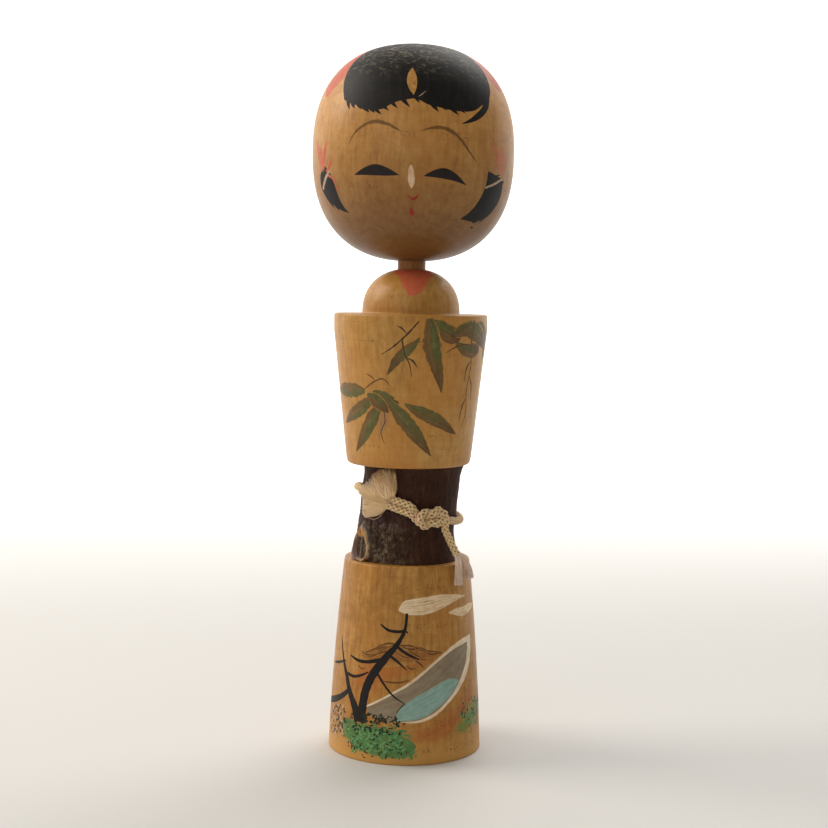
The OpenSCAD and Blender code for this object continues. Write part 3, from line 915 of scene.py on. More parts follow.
def addTassel():
    # two bunches of fibre: each fibre keeps its place in the bunch, which opens towards its tips
    paths, radii = [], []
    s = np.linspace(0, 1, tassel["rows"])
    for route, flat in ((frontBunch, 0.7), (rearBunch, 0.75)):
        line = smoothLine(onRest(route), tassel["rows"])
        n = tassel["count"]
        r, turn = np.sqrt(rng.uniform(0, 1, n)), rng.uniform(0, 2 * np.pi, n)
        ahead = unit(np.gradient(line, axis=0))
        outward = unit(line * [1, 1, 0])
        side = unit(np.cross(ahead, outward))
        opened = tassel["root"] + (tassel["tip"] - tassel["root"]) * s ** 0.7
        wobble = tassel["wobble"] * np.sin(s * rng.uniform(2, 7, n)[:, None]
                                           + rng.uniform(0, 6, n)[:, None]) * s
        across = (r * np.cos(turn))[:, None] * opened + wobble
        out = (r * np.sin(turn))[:, None] * opened * flat - wobble
        length = rng.uniform(0.93, 1.05, n)[:, None, None]
        path = line[None] + side[None] * across[:, :, None] + np.cross(side, ahead)[None] * out[:, :, None]
        paths.append(path[:, :1] + (path - path[:, :1]) * length)
        radii.append(tassel["thick"] * (1.1 - 0.4 * s) * rng.uniform(0.8, 1.3, n)[:, None])
    paths, radii = np.concatenate(paths), np.concatenate(radii)
    material = fibreMaterial("tassel_fibre", (255, 240, 224), (246, 214, 188), (186, 134, 98))
    piece = addTubes("sash_tassel", paths, radii, tassel["sides"], unit(paths * [1, 1, 0]), material)
    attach(piece, "body")
    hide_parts("tassel_right")
    return piece


fanPiece = addFan()
tasselPiece = addTassel()
print("fibre ready")


paintLift = 0.008 * mm
paintSink = 0.05 * mm


def onTurned(radiusAt, azimuth, z, lift):
    # a point over a turned surface, lifted square to it
    e = 0.02 * mm
    slope = (radiusAt(z + e) - radiusAt(z - e)) / (2 * e)
    n = 1 / np.sqrt(1 + slope ** 2)
    return roundPoint(azimuth, radiusAt(z) + lift * n, z - lift * slope * n)


def onHead(azimuth, lat, lift):
    # a point over the head, lifted square to it
    r, z = headPoint(lat, lift)
    return roundPoint(azimuth, r, z)


def headFilm(azimuth, lat, uv, lifts=1):
    # a grid of azimuths in degrees and latitudes in radians as a film over the head
    return shell(onHead(azimuth, lat, paintLift * lifts), onHead(azimuth, lat, -paintSink), uv)


def shell(top, bottom, uv):
    # a closed film: the grid on top, the same grid sunk into the wood, and a rim between them; all of it
    # is shaded square to the wood, so that the film's rim does not glint
    rows, cols = top.shape[:2]
    i, j = rows // 2, cols // 2
    normal = np.cross(top[i, j] - top[i, j - 1], top[i, j] - top[i - 1, j])
    if np.dot(normal, top[i, j] - bottom[i, j]) < 0:
        top, bottom, uv = top[:, ::-1], bottom[:, ::-1], uv[:, ::-1]
    quads = gridQuads(rows, cols)
    index = np.arange(rows * cols).reshape(rows, cols)
    rim = np.concatenate([index[0, :-1], index[:-1, -1], index[-1, :0:-1], index[:0:-1, 0]])
    after = np.roll(rim, -1)
    count = rows * cols
    skirting = np.stack([rim, rim + count, after + count, after], -1)
    faces = np.concatenate([quads, quads[:, ::-1] + count, skirting])
    points = np.concatenate([top.reshape(-1, 3), bottom.reshape(-1, 3)])
    normals = unit(top - bottom).reshape(-1, 3)
    return points, faces, np.concatenate([uv.reshape(-1, 2)] * 2), np.concatenate([normals, normals])


def layFilm(radiusAt, azimuth, z, uv, level=0):
    # a grid of azimuths in degrees and heights in millimetres as a film over a turned surface
    lifts = (paintLift * (1 + level), -paintSink)
    top, bottom = (onTurned(radiusAt, azimuth, z * mm, lift) for lift in lifts)
    return shell(top, bottom, uv)


def gridUv(rows, cols, number):
    # u along from the mark's number, v across
    u, v = np.meshgrid(np.linspace(0.02, 0.98, rows) + number, np.linspace(0, 1, cols), indexing="ij")
    return np.stack([u, v], -1)


def stroke(radiusAt, rows, number=0, level=0, steps=None, cols=7, ragged=0.0):
    # a brush stroke: a smooth line through rows of azimuth, height and width, widened to each side
    rows = np.asarray(rows, float)
    reach = np.linalg.norm(np.diff(rows[:, :2] * [0.4, 1], axis=0), axis=1).sum()
    steps = steps or int(np.clip(reach * 2.2, 12, 90))
    a, z, w = smoothLine(rows, steps).T
    w = np.maximum(w, 0.04)
    if ragged:
        w = w * (1 + ragged * (softNoise(np.arange(steps) * 0.55, np.full(steps, number * 1.7), 21) - 0.5))
    r = radiusAt(z * mm) / mm
    da, dz = np.gradient(a) * np.pi / 180 * r, np.gradient(z)
    size = np.maximum(np.hypot(da, dz), 1e-9)
    across = np.linspace(-0.5, 0.5, cols)[None, :]
    azimuth = a[:, None] - np.degrees((dz / size * w / r)[:, None] * across)
    height = z[:, None] + (da / size * w)[:, None] * across
    return layFilm(radiusAt, azimuth, height, gridUv(steps, cols, number), level)


def between(radiusAt, low, high, number=0, level=0, rows=40, cols=14):
    # a patch between two smooth lines of azimuth and height
    a, b = smoothLine(low, rows), smoothLine(high, rows)
    t = np.linspace(0, 1, cols)[None, :, None]
    grid = a[:, None] * (1 - t) + b[:, None] * t
    return layFilm(radiusAt, grid[..., 0], grid[..., 1], gridUv(rows, cols, number), level)


def dabs(radiusAt, azimuth, z, length, width, lean, level=0):
    # many small dabs: each an eight-sided spot with a middle, on top and underneath
    n = len(azimuth)
    turn = np.linspace(0, 2 * np.pi, 8, endpoint=False)[None, :]
    r = radiusAt(z * mm)[:, None] / mm
    x, y = length[:, None] / 2 * np.cos(turn), width[:, None] / 2 * np.sin(turn)
    a = lean[:, None]
    across, up = x * np.cos(a) - y * np.sin(a), x * np.sin(a) + y * np.cos(a)
    azimuths = np.concatenate([azimuth[:, None] + np.degrees(across / r), azimuth[:, None]], 1)
    heights = np.concatenate([z[:, None] + up, z[:, None]], 1)
    top = onTurned(radiusAt, azimuths, heights * mm, paintLift * (1 + level))
    bottom = onTurned(radiusAt, azimuths, heights * mm, -paintSink)
    points = np.concatenate([top, bottom], 1).reshape(-1, 3)
    k = np.arange(8)
    m = (k + 1) % 8
    tris = np.concatenate([np.stack([k, m, np.full(8, 8)], -1),
                           np.stack([m + 9, k + 9, np.full(8, 17)], -1)])
    sides = np.stack([k, k + 9, m + 9, m], -1)
    start = (np.arange(n) * 18)[:, None, None]
    faces = (tris[None] + start).reshape(-1, 3).tolist() + (sides[None] + start).reshape(-1, 4).tolist()
    uv = np.stack([np.repeat(np.arange(n) + 0.5, 18), np.tile([*np.zeros(8), 0.5] * 2, n)], -1)
    normals = unit(top - bottom)
    return points, faces, uv, np.concatenate([normals, normals], 1).reshape(-1, 3)


def addPaint(name, films, material, body):
    # joins films into one piece
    faces, start = [], 0
    for film in films:
        faces += [[int(i) + start for i in face] for face in film[1]]
        start += len(film[0])
    points, uvs, normals = (np.concatenate([film[k] for film in films]) for k in (0, 2, 3))
    piece = addMesh(name, points, faces, uvs, material, normals)
    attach(piece, body)
    return piece


def paintMaterial(name, wood, tints, cover=1.0, soft=0.12, brush=(3.0, 14.0), dry=0.0, rough=0.5,
                  coat=0.12, ends=0.0, side=None, tip=None, scuff=None):
    # paint over wood: tints run along the brush's hairs, and the wood shows through at soft edges,
    # through dry hairs and, where the cover is thin, all over; one side and the tip can be tinted, and the
    # crown can get pale marks, partly wear and partly painted sheen
    material, tree, shader = newMaterial(name)
    finish = dict(Coat_Weight=coat, Coat_Roughness=0.3, Specular_IOR_Level=0.25)
    uv = uvPlace(tree)
    u, v = axes(tree, uv)[:2]
    place = objectPlace(tree)
    hairs = noise(tree, placed(tree, uv, (brush[0], brush[1], 1)), 1.0, 4, 0.6)
    spots = noise(tree, place, 420, 3, 0.6)
    blend = plus(tree, times(tree, hairs, 0.6), times(tree, spots, 0.4))
    step = 0.24 / max(1, len(tints) - 1)
    paint = ramp(tree, blend, [(0.38 + step * i, colour(c)) for i, c in enumerate(tints)])
    part = maths(tree, "FRACT", u)
    if side:
        lean = plus(tree, v, swing(tree, hairs, 1.4))
        paint = mixed(tree, ramp(tree, lean, [(0.28, 1.0), (0.46, 0.0)]), paint, colour(side))
    if tip:
        lean = plus(tree, part, swing(tree, spots, 0.8))
        paint = mixed(tree, ramp(tree, lean, [(0.55, 0.0), (0.85, 1.0)]), paint, colour(tip))
    # pale marks high on the crown: partly wear and partly painted sheen
    if scuff:
        high = spread(tree, axes(tree, place)[2], 226 * mm, 238 * mm)
        wearAndSheenMarks = ramp(tree, noise(tree, placed(tree, place, (1, 1, 1.6)), 260, 5, 0.75, 1.6),
                     [(0.51, 0.0), (0.60, 1.0)])
        paint = tinted(tree, paint, high, wearAndSheenMarks, scuff)
    if soft == 0:
        setShader(tree, shader, paint, rough, spots, 0.00012, 0.4, **finish)
        return material
    under, height = woodNodes(tree, wood)
    edge = hump(tree, v)
    if ends:
        edge = maths(tree, "MINIMUM", edge, times(tree, hump(tree, part), 1 / ends))
    edge = plus(tree, edge, swing(tree, spots, soft * 2.2, 0.62))
    mask = spread(tree, edge, 0.0, soft, kind="SMOOTHSTEP")
    if dry:
        mask = times(tree, mask, ramp(tree, hairs, [(0.34, 1 - dry), (0.50, 1.0)]))
    base = mixed(tree, times(tree, mask, cover), under, paint)
    setShader(tree, shader, base, rough, height, 0.0002, 0.3, **finish)
    return material


grounds = dict(head=(headWood, "head", "head_wood"), torso=(torsoWood, "body", "torso_wood"),
               skirt=(skirtWood, "body", "skirt_wood"))


def paint(ground, name, films, look, tints, **brushwork):
    # films in one kind of paint, on the head, the torso or the skirt
    wood, body, slot = grounds[ground]
    return addPaint(name, films, paintMaterial(look, wood, tints, **brushwork), body)


fringeEdge = [[-43.5, 220.8], [-40, 219.6], [-36, 218.9], [-32, 218.2], [-28, 217.3], [-22, 216.7],
    [-17, 217.1], [-13, 218.4], [-9, 219.4], [-5, 219.9], [0, 220.3], [4, 219.6], [8, 218.5], [12, 218.0],
    [17, 217.4], [22, 216.9], [28, 216.8], [33, 217], [37, 217.7], [41, 219.1], [46, 221]]
fringeSides = dict(lat=[18, 22, 26, 32, 40, 50, 65, 86],
    left=[-43.5, -45, -47.4, -50.4, -53, -56, -59, -60], right=[46, 49.5, 52.5, 55.5, 58, 60, 62, 62])
# each spike of the fringe: where it starts, where its tip is, and its width
fringeSpikes = [[-41.5, 221.5, -38.7, 217.3, 1.7], [-38, 221, -35.2, 217.5, 1.9],
    [-32, 220, -25, 215.9, 2.1], [-28, 219.5, -21.5, 215.7, 1.7], [-25, 219.5, -17.8, 215.1, 1.9],
    [-20, 220, -13.8, 216.4, 1.7], [-16, 222, -8.8, 217, 1.8], [-9, 222.5, -2, 217.4, 1.8],
    [0, 222.3, 3.2, 218.9, 1.4], [8, 221, 13.8, 216.2, 2], [12, 220.5, 18.8, 216.7, 1.4],
    [18, 220, 25.6, 215.5, 2], [23, 219.8, 29.8, 216.2, 1.5], [-35, 220.5, -30, 217, 1.6]]


def fringeCap():
    # a grid from the crown to the fringe's edge, between the cap's left and right sides
    rows, cols = 60, 110
    s, c = np.linspace(0, 1, rows)[:, None], np.linspace(0, 1, cols)[None, :]
    edge = smoothLine(fringeEdge, 400)
    start, end = fringeEdge[0][0], fringeEdge[-1][0]
    edgeZ = np.interp(start + (end - start) * c, edge[:, 0], edge[:, 1])
    lat = np.degrees(latitudeOf(edgeZ * mm)) * s + fringeSides["lat"][-1] * (1 - s)
    left = np.interp(lat, fringeSides["lat"], fringeSides["left"])
    right = np.interp(lat, fringeSides["lat"], fringeSides["right"])
    azimuth = left + (right - left) * c
    lat = np.radians(lat)
    return headFilm(azimuth, lat, gridUv(rows, cols, 0), 2)


topknot = dict(rows=40, radius=8.5 * mm)


def crownSpot():
    # the topknot: a square grid drawn into a disc over the crown
    rows, reach = topknot["rows"], topknot["radius"]
    u, v = np.meshgrid(np.linspace(-1, 1, rows), np.linspace(-1, 1, rows), indexing="ij")
    x, y = reach * u * np.sqrt(1 - v * v / 2), reach * v * np.sqrt(1 - u * u / 2)
    r = np.hypot(x, y)
    lat = np.arccos(np.clip((r / head["radius"]) ** (head["power"] / 2), 0, 1))
    azimuth = np.degrees(np.arctan2(x, -y))
    return headFilm(azimuth, lat, gridUv(rows, rows, 40), 3)


petalTop = 74  # the latitude, in degrees, at which the ribbon petals start


def petal(azimuth, tipLat, width, number, drift):
    # a red ribbon petal that runs down from the crown along a meridian
    rows, cols = 60, 21
    s, t = np.linspace(0, 1, rows)[:, None], np.linspace(-0.5, 0.5, cols)[None, :]
    lat = np.radians(petalTop + (tipLat - petalTop) * s) + 0 * t
    r = headPoint(lat)[0]
    wide = width * mm * (0.35 + 0.65 * np.sin(np.pi * np.clip(s * 0.9 + 0.05, 0, 1) ** 1.3) ** 0.8)
    wide = wide * np.clip((1 - s) * 7 + 0.1, 0, 1) ** 0.5
    azimuths = azimuth + drift * s + np.degrees(wide * t / np.maximum(r, 3 * mm))
    return headFilm(azimuths, lat, gridUv(rows, cols, number))


hair = [fringeCap(), crownSpot()]
for i, (a0, z0, a1, z1, w) in enumerate(fringeSpikes):
    middle = [(a0 * 0.45 + a1 * 0.55), (z0 * 0.45 + z1 * 0.55) - 0.25]
    hair.append(stroke(headRadius, [[a0, z0, w], [*middle, w * 0.75], [a1, z1, 0.06]], i + 1, 0.05))
hair.append(between(headRadius,
    [[51.5, 226], [50.3, 222.5], [48.4, 219.9], [45.2, 217.5], [40, 215.2], [34, 213.6], [27, 212.7]],
    [[44, 226], [44.2, 222.5], [43.8, 220.3], [41.6, 218.6], [38, 216.9], [33.5, 215], [27, 212.8]], 20,
    0.1))
# side locks: a patch each, with loose hairs at the foot
hair.append(between(headRadius,
    [[-61.5, 198.9], [-65.5, 196.2], [-66.5, 193.3], [-64, 190.3], [-60, 187.8], [-55, 186.7],
     [-49.5, 185], [-44, 184.1]],
    [[-58, 199.6], [-54.6, 197.6], [-51.6, 195.8], [-50.1, 192.6], [-48.9, 189.6], [-47.6, 187.4],
     [-46, 185.7], [-43.8, 184.2]], 21))
hair.append(between(headRadius,
    [[46.3, 198.3], [46, 195], [45, 192], [42.5, 188.5], [38.5, 185.2], [33, 182.8]],
    [[54, 197.2], [62.5, 195], [63.5, 190.5], [60, 186], [50, 182.4], [33, 182.5]], 22))
looseHairs = [[-60, 188.6, -56.3, 185.6, 1.3], [-55.5, 187.4, -51.3, 184.9, 1.3],
    [-58, 198, -54.2, 198.9, 1.2], [59, 187, 50, 181.3, 1.6], [54, 184.4, 45, 181.4, 1.3],
    [47, 196.5, 50.5, 198, 1], [52, 196.6, 58, 197.6, 1], [60, 195, 64.8, 195.6, 1.1]]
for i, (a0, z0, a1, z1, w) in enumerate(looseHairs):
    hair.append(stroke(headRadius, [[a0, z0, w], [(a0 + a1) / 2, (z0 + z1) / 2, w * 0.7], [a1, z1, 0.06]],
                       i + 23, 0.05))
hair.append(dabs(headRadius, np.array([46.0, 45.2]), np.array([180.1, 181.9]), np.array([1.7, 1.3]),
    np.array([0.6, 0.6]), np.array([-0.2, 0.5])))
# the hair's pale marks on the crown are partly wear and partly painted sheen
paint("head", "hair_paint", hair, "hair_black", [(15, 12, 11), (22, 18, 17), (34, 30, 27)], soft=0,
    brush=(2.0, 60.0), rough=0.56, coat=0.0, scuff=(122, 114, 98))

eyes = [between(headRadius, [[-34.2, 196.1], [-27, 196], [-20, 195.8], [-13, 195.7], [-7.3, 195.9]],
    [[-34.2, 196.15], [-28, 198.2], [-20.5, 199.4], [-13.5, 198.1], [-7.3, 195.95]], 1),
    between(headRadius, [[5.8, 195.7], [12, 195.4], [18, 195], [25, 194.3], [31.5, 193.3]],
        [[5.8, 195.75], [11, 197.5], [17.5, 198.4], [24, 196.9], [31.5, 193.4]], 2)]
paint("head", "eye_paint", eyes, "eye_black", [(18, 10, 8), (32, 22, 18)], soft=0, brush=(4, 8),
    rough=0.4, coat=0.2)

brows = [stroke(headRadius,
    [[-37.8, 205.6, 0.3], [-34.5, 208.9, 0.9], [-29, 211.5, 1.5], [-22, 212.9, 1.9], [-15, 212.3, 1.8],
     [-10.5, 211, 1.3], [-6.5, 209.7, 0.4]], 1),
    stroke(headRadius,
        [[4, 209.9, 0.4], [9, 210.9, 1.3], [15, 211.3, 1.9], [21, 210.2, 2.0], [27, 207.4, 1.7],
         [32, 204, 1.2], [37, 200.9, 0.3]], 2)]
paint("head", "brow_paint", brows, "brow_brown", [(72, 46, 18), (98, 66, 30)], cover=0.82, soft=0.6,
    brush=(5, 3), dry=0.2)

nose = [stroke(headRadius,
    [[-0.9, 199.3, 0.3], [-1, 197.8, 1.9], [-0.8, 195.5, 2.5], [-0.7, 193.3, 2.2], [-0.7, 191.8, 0.5]], 1,
    1, steps=30, cols=11)]
noseLine = [stroke(headRadius,
    [[-0.9, 199.6, 0.6], [-1, 197.8, 2.3], [-0.8, 195.5, 2.9], [-0.7, 193.3, 2.6], [-0.7, 191.6, 0.9]], 1,
    0, steps=30, cols=11)]
paint("head", "nose_paint", nose, "nose_white", [(206, 160, 116), (240, 212, 178)], cover=0.95, soft=0.25,
    brush=(2, 7))
paint("head", "nose_line_paint", noseLine, "nose_brown", [(104, 66, 34), (134, 90, 50)], cover=0.7,
    soft=0.35, brush=(3, 4))

lips = [between(headRadius, [[-2.5, 189.2], [-1, 188.3], [0.4, 187.8], [2, 188.1], [3.5, 189.3]],
    [[-2.7, 189.9], [-1.2, 189.2], [0.4, 189.1], [1.9, 189.5], [3.6, 190.1]], 1, rows=24, cols=9),
    stroke(headRadius, [[-0.9, 185.8, 0.5], [-0.6, 184.9, 1.7], [0, 183.9, 2], [0.8, 183.1, 0.6]], 2)]
paint("head", "lip_paint", lips, "lip_red", [(126, 28, 8), (160, 54, 24)], cover=0.95, soft=0.3,
    brush=(3, 6))

bands = [stroke(headRadius, [[-64.3, 192.2, 1.1], [-58.8, 195.6, 1.2], [-53.6, 198, 0.8]], 1, 1.2),
    stroke(headRadius, [[45.8, 193, 0.7], [53, 194.4, 0.9], [60.8, 196.3, 0.8]], 2, 1.2),
    stroke(headRadius, [[2.6, 221, 0.15], [4.6, 221.8, 0.3], [6.8, 222.9, 0.15]], 3, 2.4)]
paint("head", "lock_band_paint", bands, "band_white", [(150, 126, 104), (200, 178, 156)], cover=0.95,
    soft=0.3, brush=(4, 5), dry=0.15)

parting = [stroke(headRadius,
    [[-1.3, 230.8, 0.06], [-1.5, 228.6, 2.5], [-1.3, 226.3, 3.3], [-0.8, 223.9, 2.5],
     [-0.1, 221.5, 0.06]], 1, 2.4, steps=40, cols=11)]
addPaint("parting_wood", parting, headMaterial, "head")

ribbons = [petal(-61, 24, 15, 1, -5), petal(-84, 25, 9, 2, -3), petal(-100, 27, 8.5, 3, -2),
    petal(-117, 31, 8, 4, 0), petal(63, 29, 13, 5, 5), petal(82, 26, 9, 6, 3), petal(100, 28, 8.5, 7, 2),
    petal(117, 32, 8, 8, 0)]
ribbonTails = [[[-60.5, 198, 1.6], [-64.5, 203, 3.4], [-70, 208.3, 0.5]],
    [[-60.2, 199, 1.6], [-62, 203, 2.6], [-64.5, 206.4, 0.4]],
    [[-61, 198.6, 1.8], [-58.8, 203.2, 2.8], [-56, 208, 0.4]],
    [[-57, 197.6, 1], [-52.6, 200, 1.6], [-50.4, 202.6, 0.3]],
    [[-55.5, 196.5, 0.8], [-51, 195.2, 0.9], [-48.5, 191, 0.2]]]
ribbons += [stroke(headRadius, rows, i + 9, 0.1 * i) for i, rows in enumerate(ribbonTails)]
paint("head", "ribbon_paint", ribbons, "ribbon_red", [(186, 60, 42), (216, 98, 74)], cover=0.92, soft=0.3,
    brush=(1.5, 9), dry=0.35)

blush = [stroke(headRadius, [[50, 207.5, 2], [53.5, 203.6, 4.6], [58, 200, 4.4], [62, 197.6, 1.4]], 1),
    stroke(headRadius, [[57, 207, 1], [61, 203.5, 3.4], [65, 199.5, 1.5]], 2, 0.3)]
paint("head", "right_ribbon_paint", blush, "ribbon_faded", [(200, 84, 62), (210, 104, 80)], cover=0.8,
    soft=0.7, brush=(2, 5), dry=0.3)
print("head painted")

collar = [between(domeRadius,
    [[0.5, 157.3], [-6.5, 158], [-12.7, 160], [-20.2, 162.7], [-40, 164.3], [-66, 165.3], [-96, 166.3]],
    [[4.5, 157.3], [13.5, 158.2], [24.1, 160.7], [39.4, 162.9], [60, 164.3], [84, 165.3], [110, 166.3]],
    1, rows=60, cols=40)]
paint("torso", "collar_paint", collar, "collar_red", [(206, 92, 64), (220, 110, 82)], cover=0.9,
    soft=0.26, brush=(3, 8), dry=0.2)


# each leaf: rows of azimuth, height and width from its base to its tip
leafRows = [
    [[-38, 125.4, 1.5], [-45, 125.4, 4.4], [-55, 125.3, 5.3], [-66, 125.2, 4.8], [-74, 125, 3.2],
     [-79, 124.9, 0.8]],
    [[-30, 123.2, 1.5], [-38, 121, 4.4], [-46, 118.8, 5.2], [-55, 117, 4.4], [-63, 115.2, 2.6],
     [-69, 113.8, 0.4]],
    [[-25, 120.6, 2], [-30, 117.5, 4.8], [-36.5, 113.5, 5.4], [-43, 109.6, 4.4], [-48.5, 107, 2.6],
     [-53.8, 104.4, 0.4]],
    [[-36, 124.4, 0.8], [-31, 123.4, 3.6], [-26, 121.8, 4.8], [-21, 120.2, 3.6], [-17, 118.6, 0.8]],
    [[-30, 125.6, 0.6], [-24, 124.4, 3.4], [-18, 122.8, 4.8], [-13, 121.6, 4.2], [-8.5, 122.2, 0.8]],
    [[-16.5, 122.4, 2], [-9, 118.6, 4.8], [-1, 114.8, 5.6], [6, 111.2, 5], [12.5, 107.8, 3.2],
     [20, 104, 0.4]],
    [[-3.4, 121.6, 0.8], [3, 120, 3], [10, 118.7, 4.8], [18, 117.2, 5], [27, 115.3, 4.3], [36, 113, 2.7],
     [44, 111.2, 0.4]],
    [[13.8, 150, 2.4], [15, 146, 5.2], [16, 142, 6.6], [18, 138, 6.2], [21, 133.5, 4.7], [24, 129.5, 3],
     [26, 125.4, 0.4]],
    [[7, 143.6, 0.5], [2, 141, 2.7], [-4, 138.7, 3.9], [-9.5, 136.3, 3.5], [-13.5, 133.8, 2.2],
     [-17.4, 131.1, 0.3]],
    [[15.5, 148.8, 2.5], [22, 147, 5.4], [28, 145.2, 6.8], [34, 144, 5.8], [39, 143, 2.6]],
    [[34, 144.8, 2.5], [43, 146.3, 5.4], [51, 146.2, 6.6], [59, 145, 7], [67, 142.6, 5],
     [76, 139.5, 0.8]],
    [[36, 142, 1], [43, 140, 3.8], [51, 139.2, 5.4], [58, 139.4, 5], [64, 139.6, 2]],
    [[59, 148.4, 1.5], [67, 146.8, 4.4], [73, 143.8, 5.4], [76.5, 139.5, 3.8], [75, 135.6, 0.6]],
    [[80, 149, 1.5], [86, 144, 4.6], [92, 138, 4.8], [97, 132, 3], [101, 127, 0.4]]]
leaves = [
    stroke(torsoRadius, rows, i, 0.3 * (i % 4), cols=11, ragged=0.24) for i, rows in enumerate(leafRows)]
leaves.append(stroke(torsoRadius, [[-70, 125, 1.8], [-78, 125.1, 0.9], [-88, 124.6, 0.2]], 15))
paint("torso", "leaf_paint", leaves, "bamboo_green",
    [(56, 46, 22), (68, 80, 42), (66, 88, 48), (104, 108, 68)], cover=0.88, soft=0.14, brush=(1.6, 7),
    dry=0.25, side=(98, 74, 44), tip=(70, 50, 30))
faintLeaf = [
    stroke(torsoRadius, [[-18, 119.4, 3], [-20.5, 115.8, 4], [-23.5, 113, 2.6], [-26.5, 110.4, 0.5]], 1)]
paint("torso", "faint_leaf_paint", faintLeaf, "bamboo_faint", [(150, 112, 88), (164, 124, 96)], cover=0.6,
    soft=0.3, brush=(2, 6), dry=0.3)

# thin dark bamboo twigs that carry the leaves
twigRows = [[[6, 149, 0.5], [0, 145.8, 0.75], [-7, 142.6, 0.7], [-14, 140, 0.55], [-22, 137.8, 0.2]],
    [[-2.5, 144.8, 0.3], [-6, 146.6, 0.7], [-9.5, 147.4, 0.2]],
    [[-6, 143, 0.6], [-4, 138.4, 0.6], [0, 134.4, 0.5], [1.5, 130.6, 0.2]],
    [[-3, 137, 0.3], [2.5, 135.8, 0.65], [6, 133.6, 0.2]],
    [[-38, 126, 0.3], [-29, 128.6, 0.5], [-20, 129.6, 0.45], [-14.5, 127.2, 0.15]],
    [[-36, 131.3, 0.2], [-31, 130.3, 0.5], [-27.5, 129, 0.2]],
    [[-22, 121, 0.4], [-20, 116, 0.4], [-24, 111.5, 0.35], [-21, 107.8, 0.15]],
    [[54, 149.5, 0.55], [52, 142, 0.55], [54.5, 134, 0.5], [52, 126, 0.45], [54, 118, 0.35],
     [50, 112.5, 0.15]],
    [[27, 138.6, 0.2], [36, 140.6, 0.5], [46, 141.4, 0.5], [57, 140.4, 0.15]],
    [[53.5, 131, 0.2], [58, 127.5, 0.7], [60, 122.5, 0.15]],
    [[53, 123.5, 0.2], [48, 120, 0.7], [46.5, 115.5, 0.15]],
    [[54.3, 136, 0.2], [49, 133, 0.7], [48, 128.6, 0.15]]]
paint("torso", "twig_paint",
    [stroke(torsoRadius, rows, i, 1.2, ragged=0.5) for i, rows in enumerate(twigRows)], "twig_black",
    [(30, 20, 12), (48, 34, 22)], cover=0.93, soft=0.25, brush=(5, 4), dry=0.2)
print("torso painted")


hills = [between(skirtRadius,
    [[-46, 21], [-38, 20], [-30, 19.6], [-15, 23], [0, 27.6], [15, 32.4], [33, 38]],
    [[-44, 30], [-38, 35.6], [-28, 38], [-20, 40], [-11, 41], [5, 40.2], [33, 38.2]], 1, rows=60,
    cols=24),
    between(skirtRadius, [[4, 6.4], [20, 6], [40, 6.4], [60, 8], [76, 10]],
        [[4, 13.8], [17, 14.8], [27, 17], [38, 20.6], [50, 25], [60, 30]], 2, rows=60, cols=24)]
paint("skirt", "hill_wash_paint", hills, "hill_wash", [(168, 86, 36), (184, 104, 42)], cover=0.62,
    soft=0.7, brush=(4, 4), dry=0.25, ends=0.3)
mountain = [between(skirtRadius,
    [[-37, 35.6], [-28, 33.6], [-18, 33], [-5, 33.4], [8, 34.4], [20, 36], [31, 37.2]],
    [[-36.5, 36.6], [-28, 38], [-20, 40], [-11, 41], [5, 40.2], [16, 38.6], [31, 37.5]], 1, 0.5, rows=60,
    cols=18)]
paint("skirt", "mountain_wash_paint", mountain, "mountain_wash", [(124, 66, 26), (148, 84, 38)],
    cover=0.6, soft=0.4, brush=(7, 3), dry=0.4)

clouds = [between(skirtRadius,
    [[-6, 51.9], [0, 50.8], [12, 50.4], [22, 51], [30, 52], [40, 53.3], [48, 54.3], [60, 55]],
    [[-6.4, 52.4], [-3, 54.9], [5, 56.1], [16, 56.8], [28, 57.3], [40, 57], [50, 56.3], [61, 55.3]], 1),
    between(skirtRadius, [[38, 50.5], [46, 49.3], [56, 48.4], [66, 49], [78, 50.6]],
        [[38, 50.7], [46, 51.7], [58, 51.9], [68, 52.2], [79, 51.4]], 2)]
paint("skirt", "cloud_paint", clouds, "cloud_cream", [(214, 176, 130), (240, 214, 174), (250, 230, 196)],
    cover=0.88, soft=0.1, brush=(3, 12), dry=0.45)

lakeRim = [between(skirtRadius,
    [[-30, 18.9], [-24, 16.4], [-12, 15], [-1.5, 14.4], [7.3, 14.1], [16.1, 14.8], [25.6, 16.6],
     [36.1, 20], [47.1, 23.9], [57.4, 28.6], [62.5, 32], [66, 36.5], [66.6, 41.3]],
    [[-30, 19.3], [-22, 21.4], [-14, 23.5], [-6, 25.8], [2.5, 28], [8, 29.9], [14, 31.9], [20, 34],
     [26.2, 36], [34, 38], [41, 39.5], [52, 41], [65.4, 41.6]], 1, 0.6, rows=80, cols=26)]
paint("skirt", "lake_rim_paint", lakeRim, "lake_white", [(226, 200, 164), (248, 232, 206)], cover=0.95,
    soft=0.04, brush=(5, 9), dry=0.15)
lakeWater = [between(skirtRadius,
    [[-30, 18.4], [-24, 15.7], [-12, 14.6], [-6, 14.8], [2.8, 14.9], [11.6, 15.4], [20.8, 17],
     [32.1, 20.3], [43.5, 24.8], [52, 29.6], [57.6, 33.8], [60, 37.6]],
    [[-29.6, 18.8], [-24, 20], [-14.1, 22.6], [-6, 24.7], [2.5, 26.8], [8, 28.5], [13.8, 30.5],
     [20, 32.6], [26.1, 34.5], [34, 36.5], [42, 38], [59.7, 39.5]], 2, 1.2, rows=80, cols=26)]
paint("skirt", "lake_water_paint", lakeWater, "lake_grey", [(124, 112, 94), (152, 140, 118)], cover=0.93,
    soft=0.02, brush=(4, 8), dry=0.15)
lakeTeal = [between(skirtRadius,
    [[-6.5, 15], [2.8, 15.1], [11.6, 15.7], [20.8, 17.4], [32.1, 20.7], [42, 24.4], [46.4, 26.8]],
    [[-6, 16.6], [-2.8, 19.7], [4.9, 22.4], [16.1, 25], [28.4, 27.5], [38, 28.5], [46.2, 27.4]], 3, 1.8,
    rows=60, cols=22)]
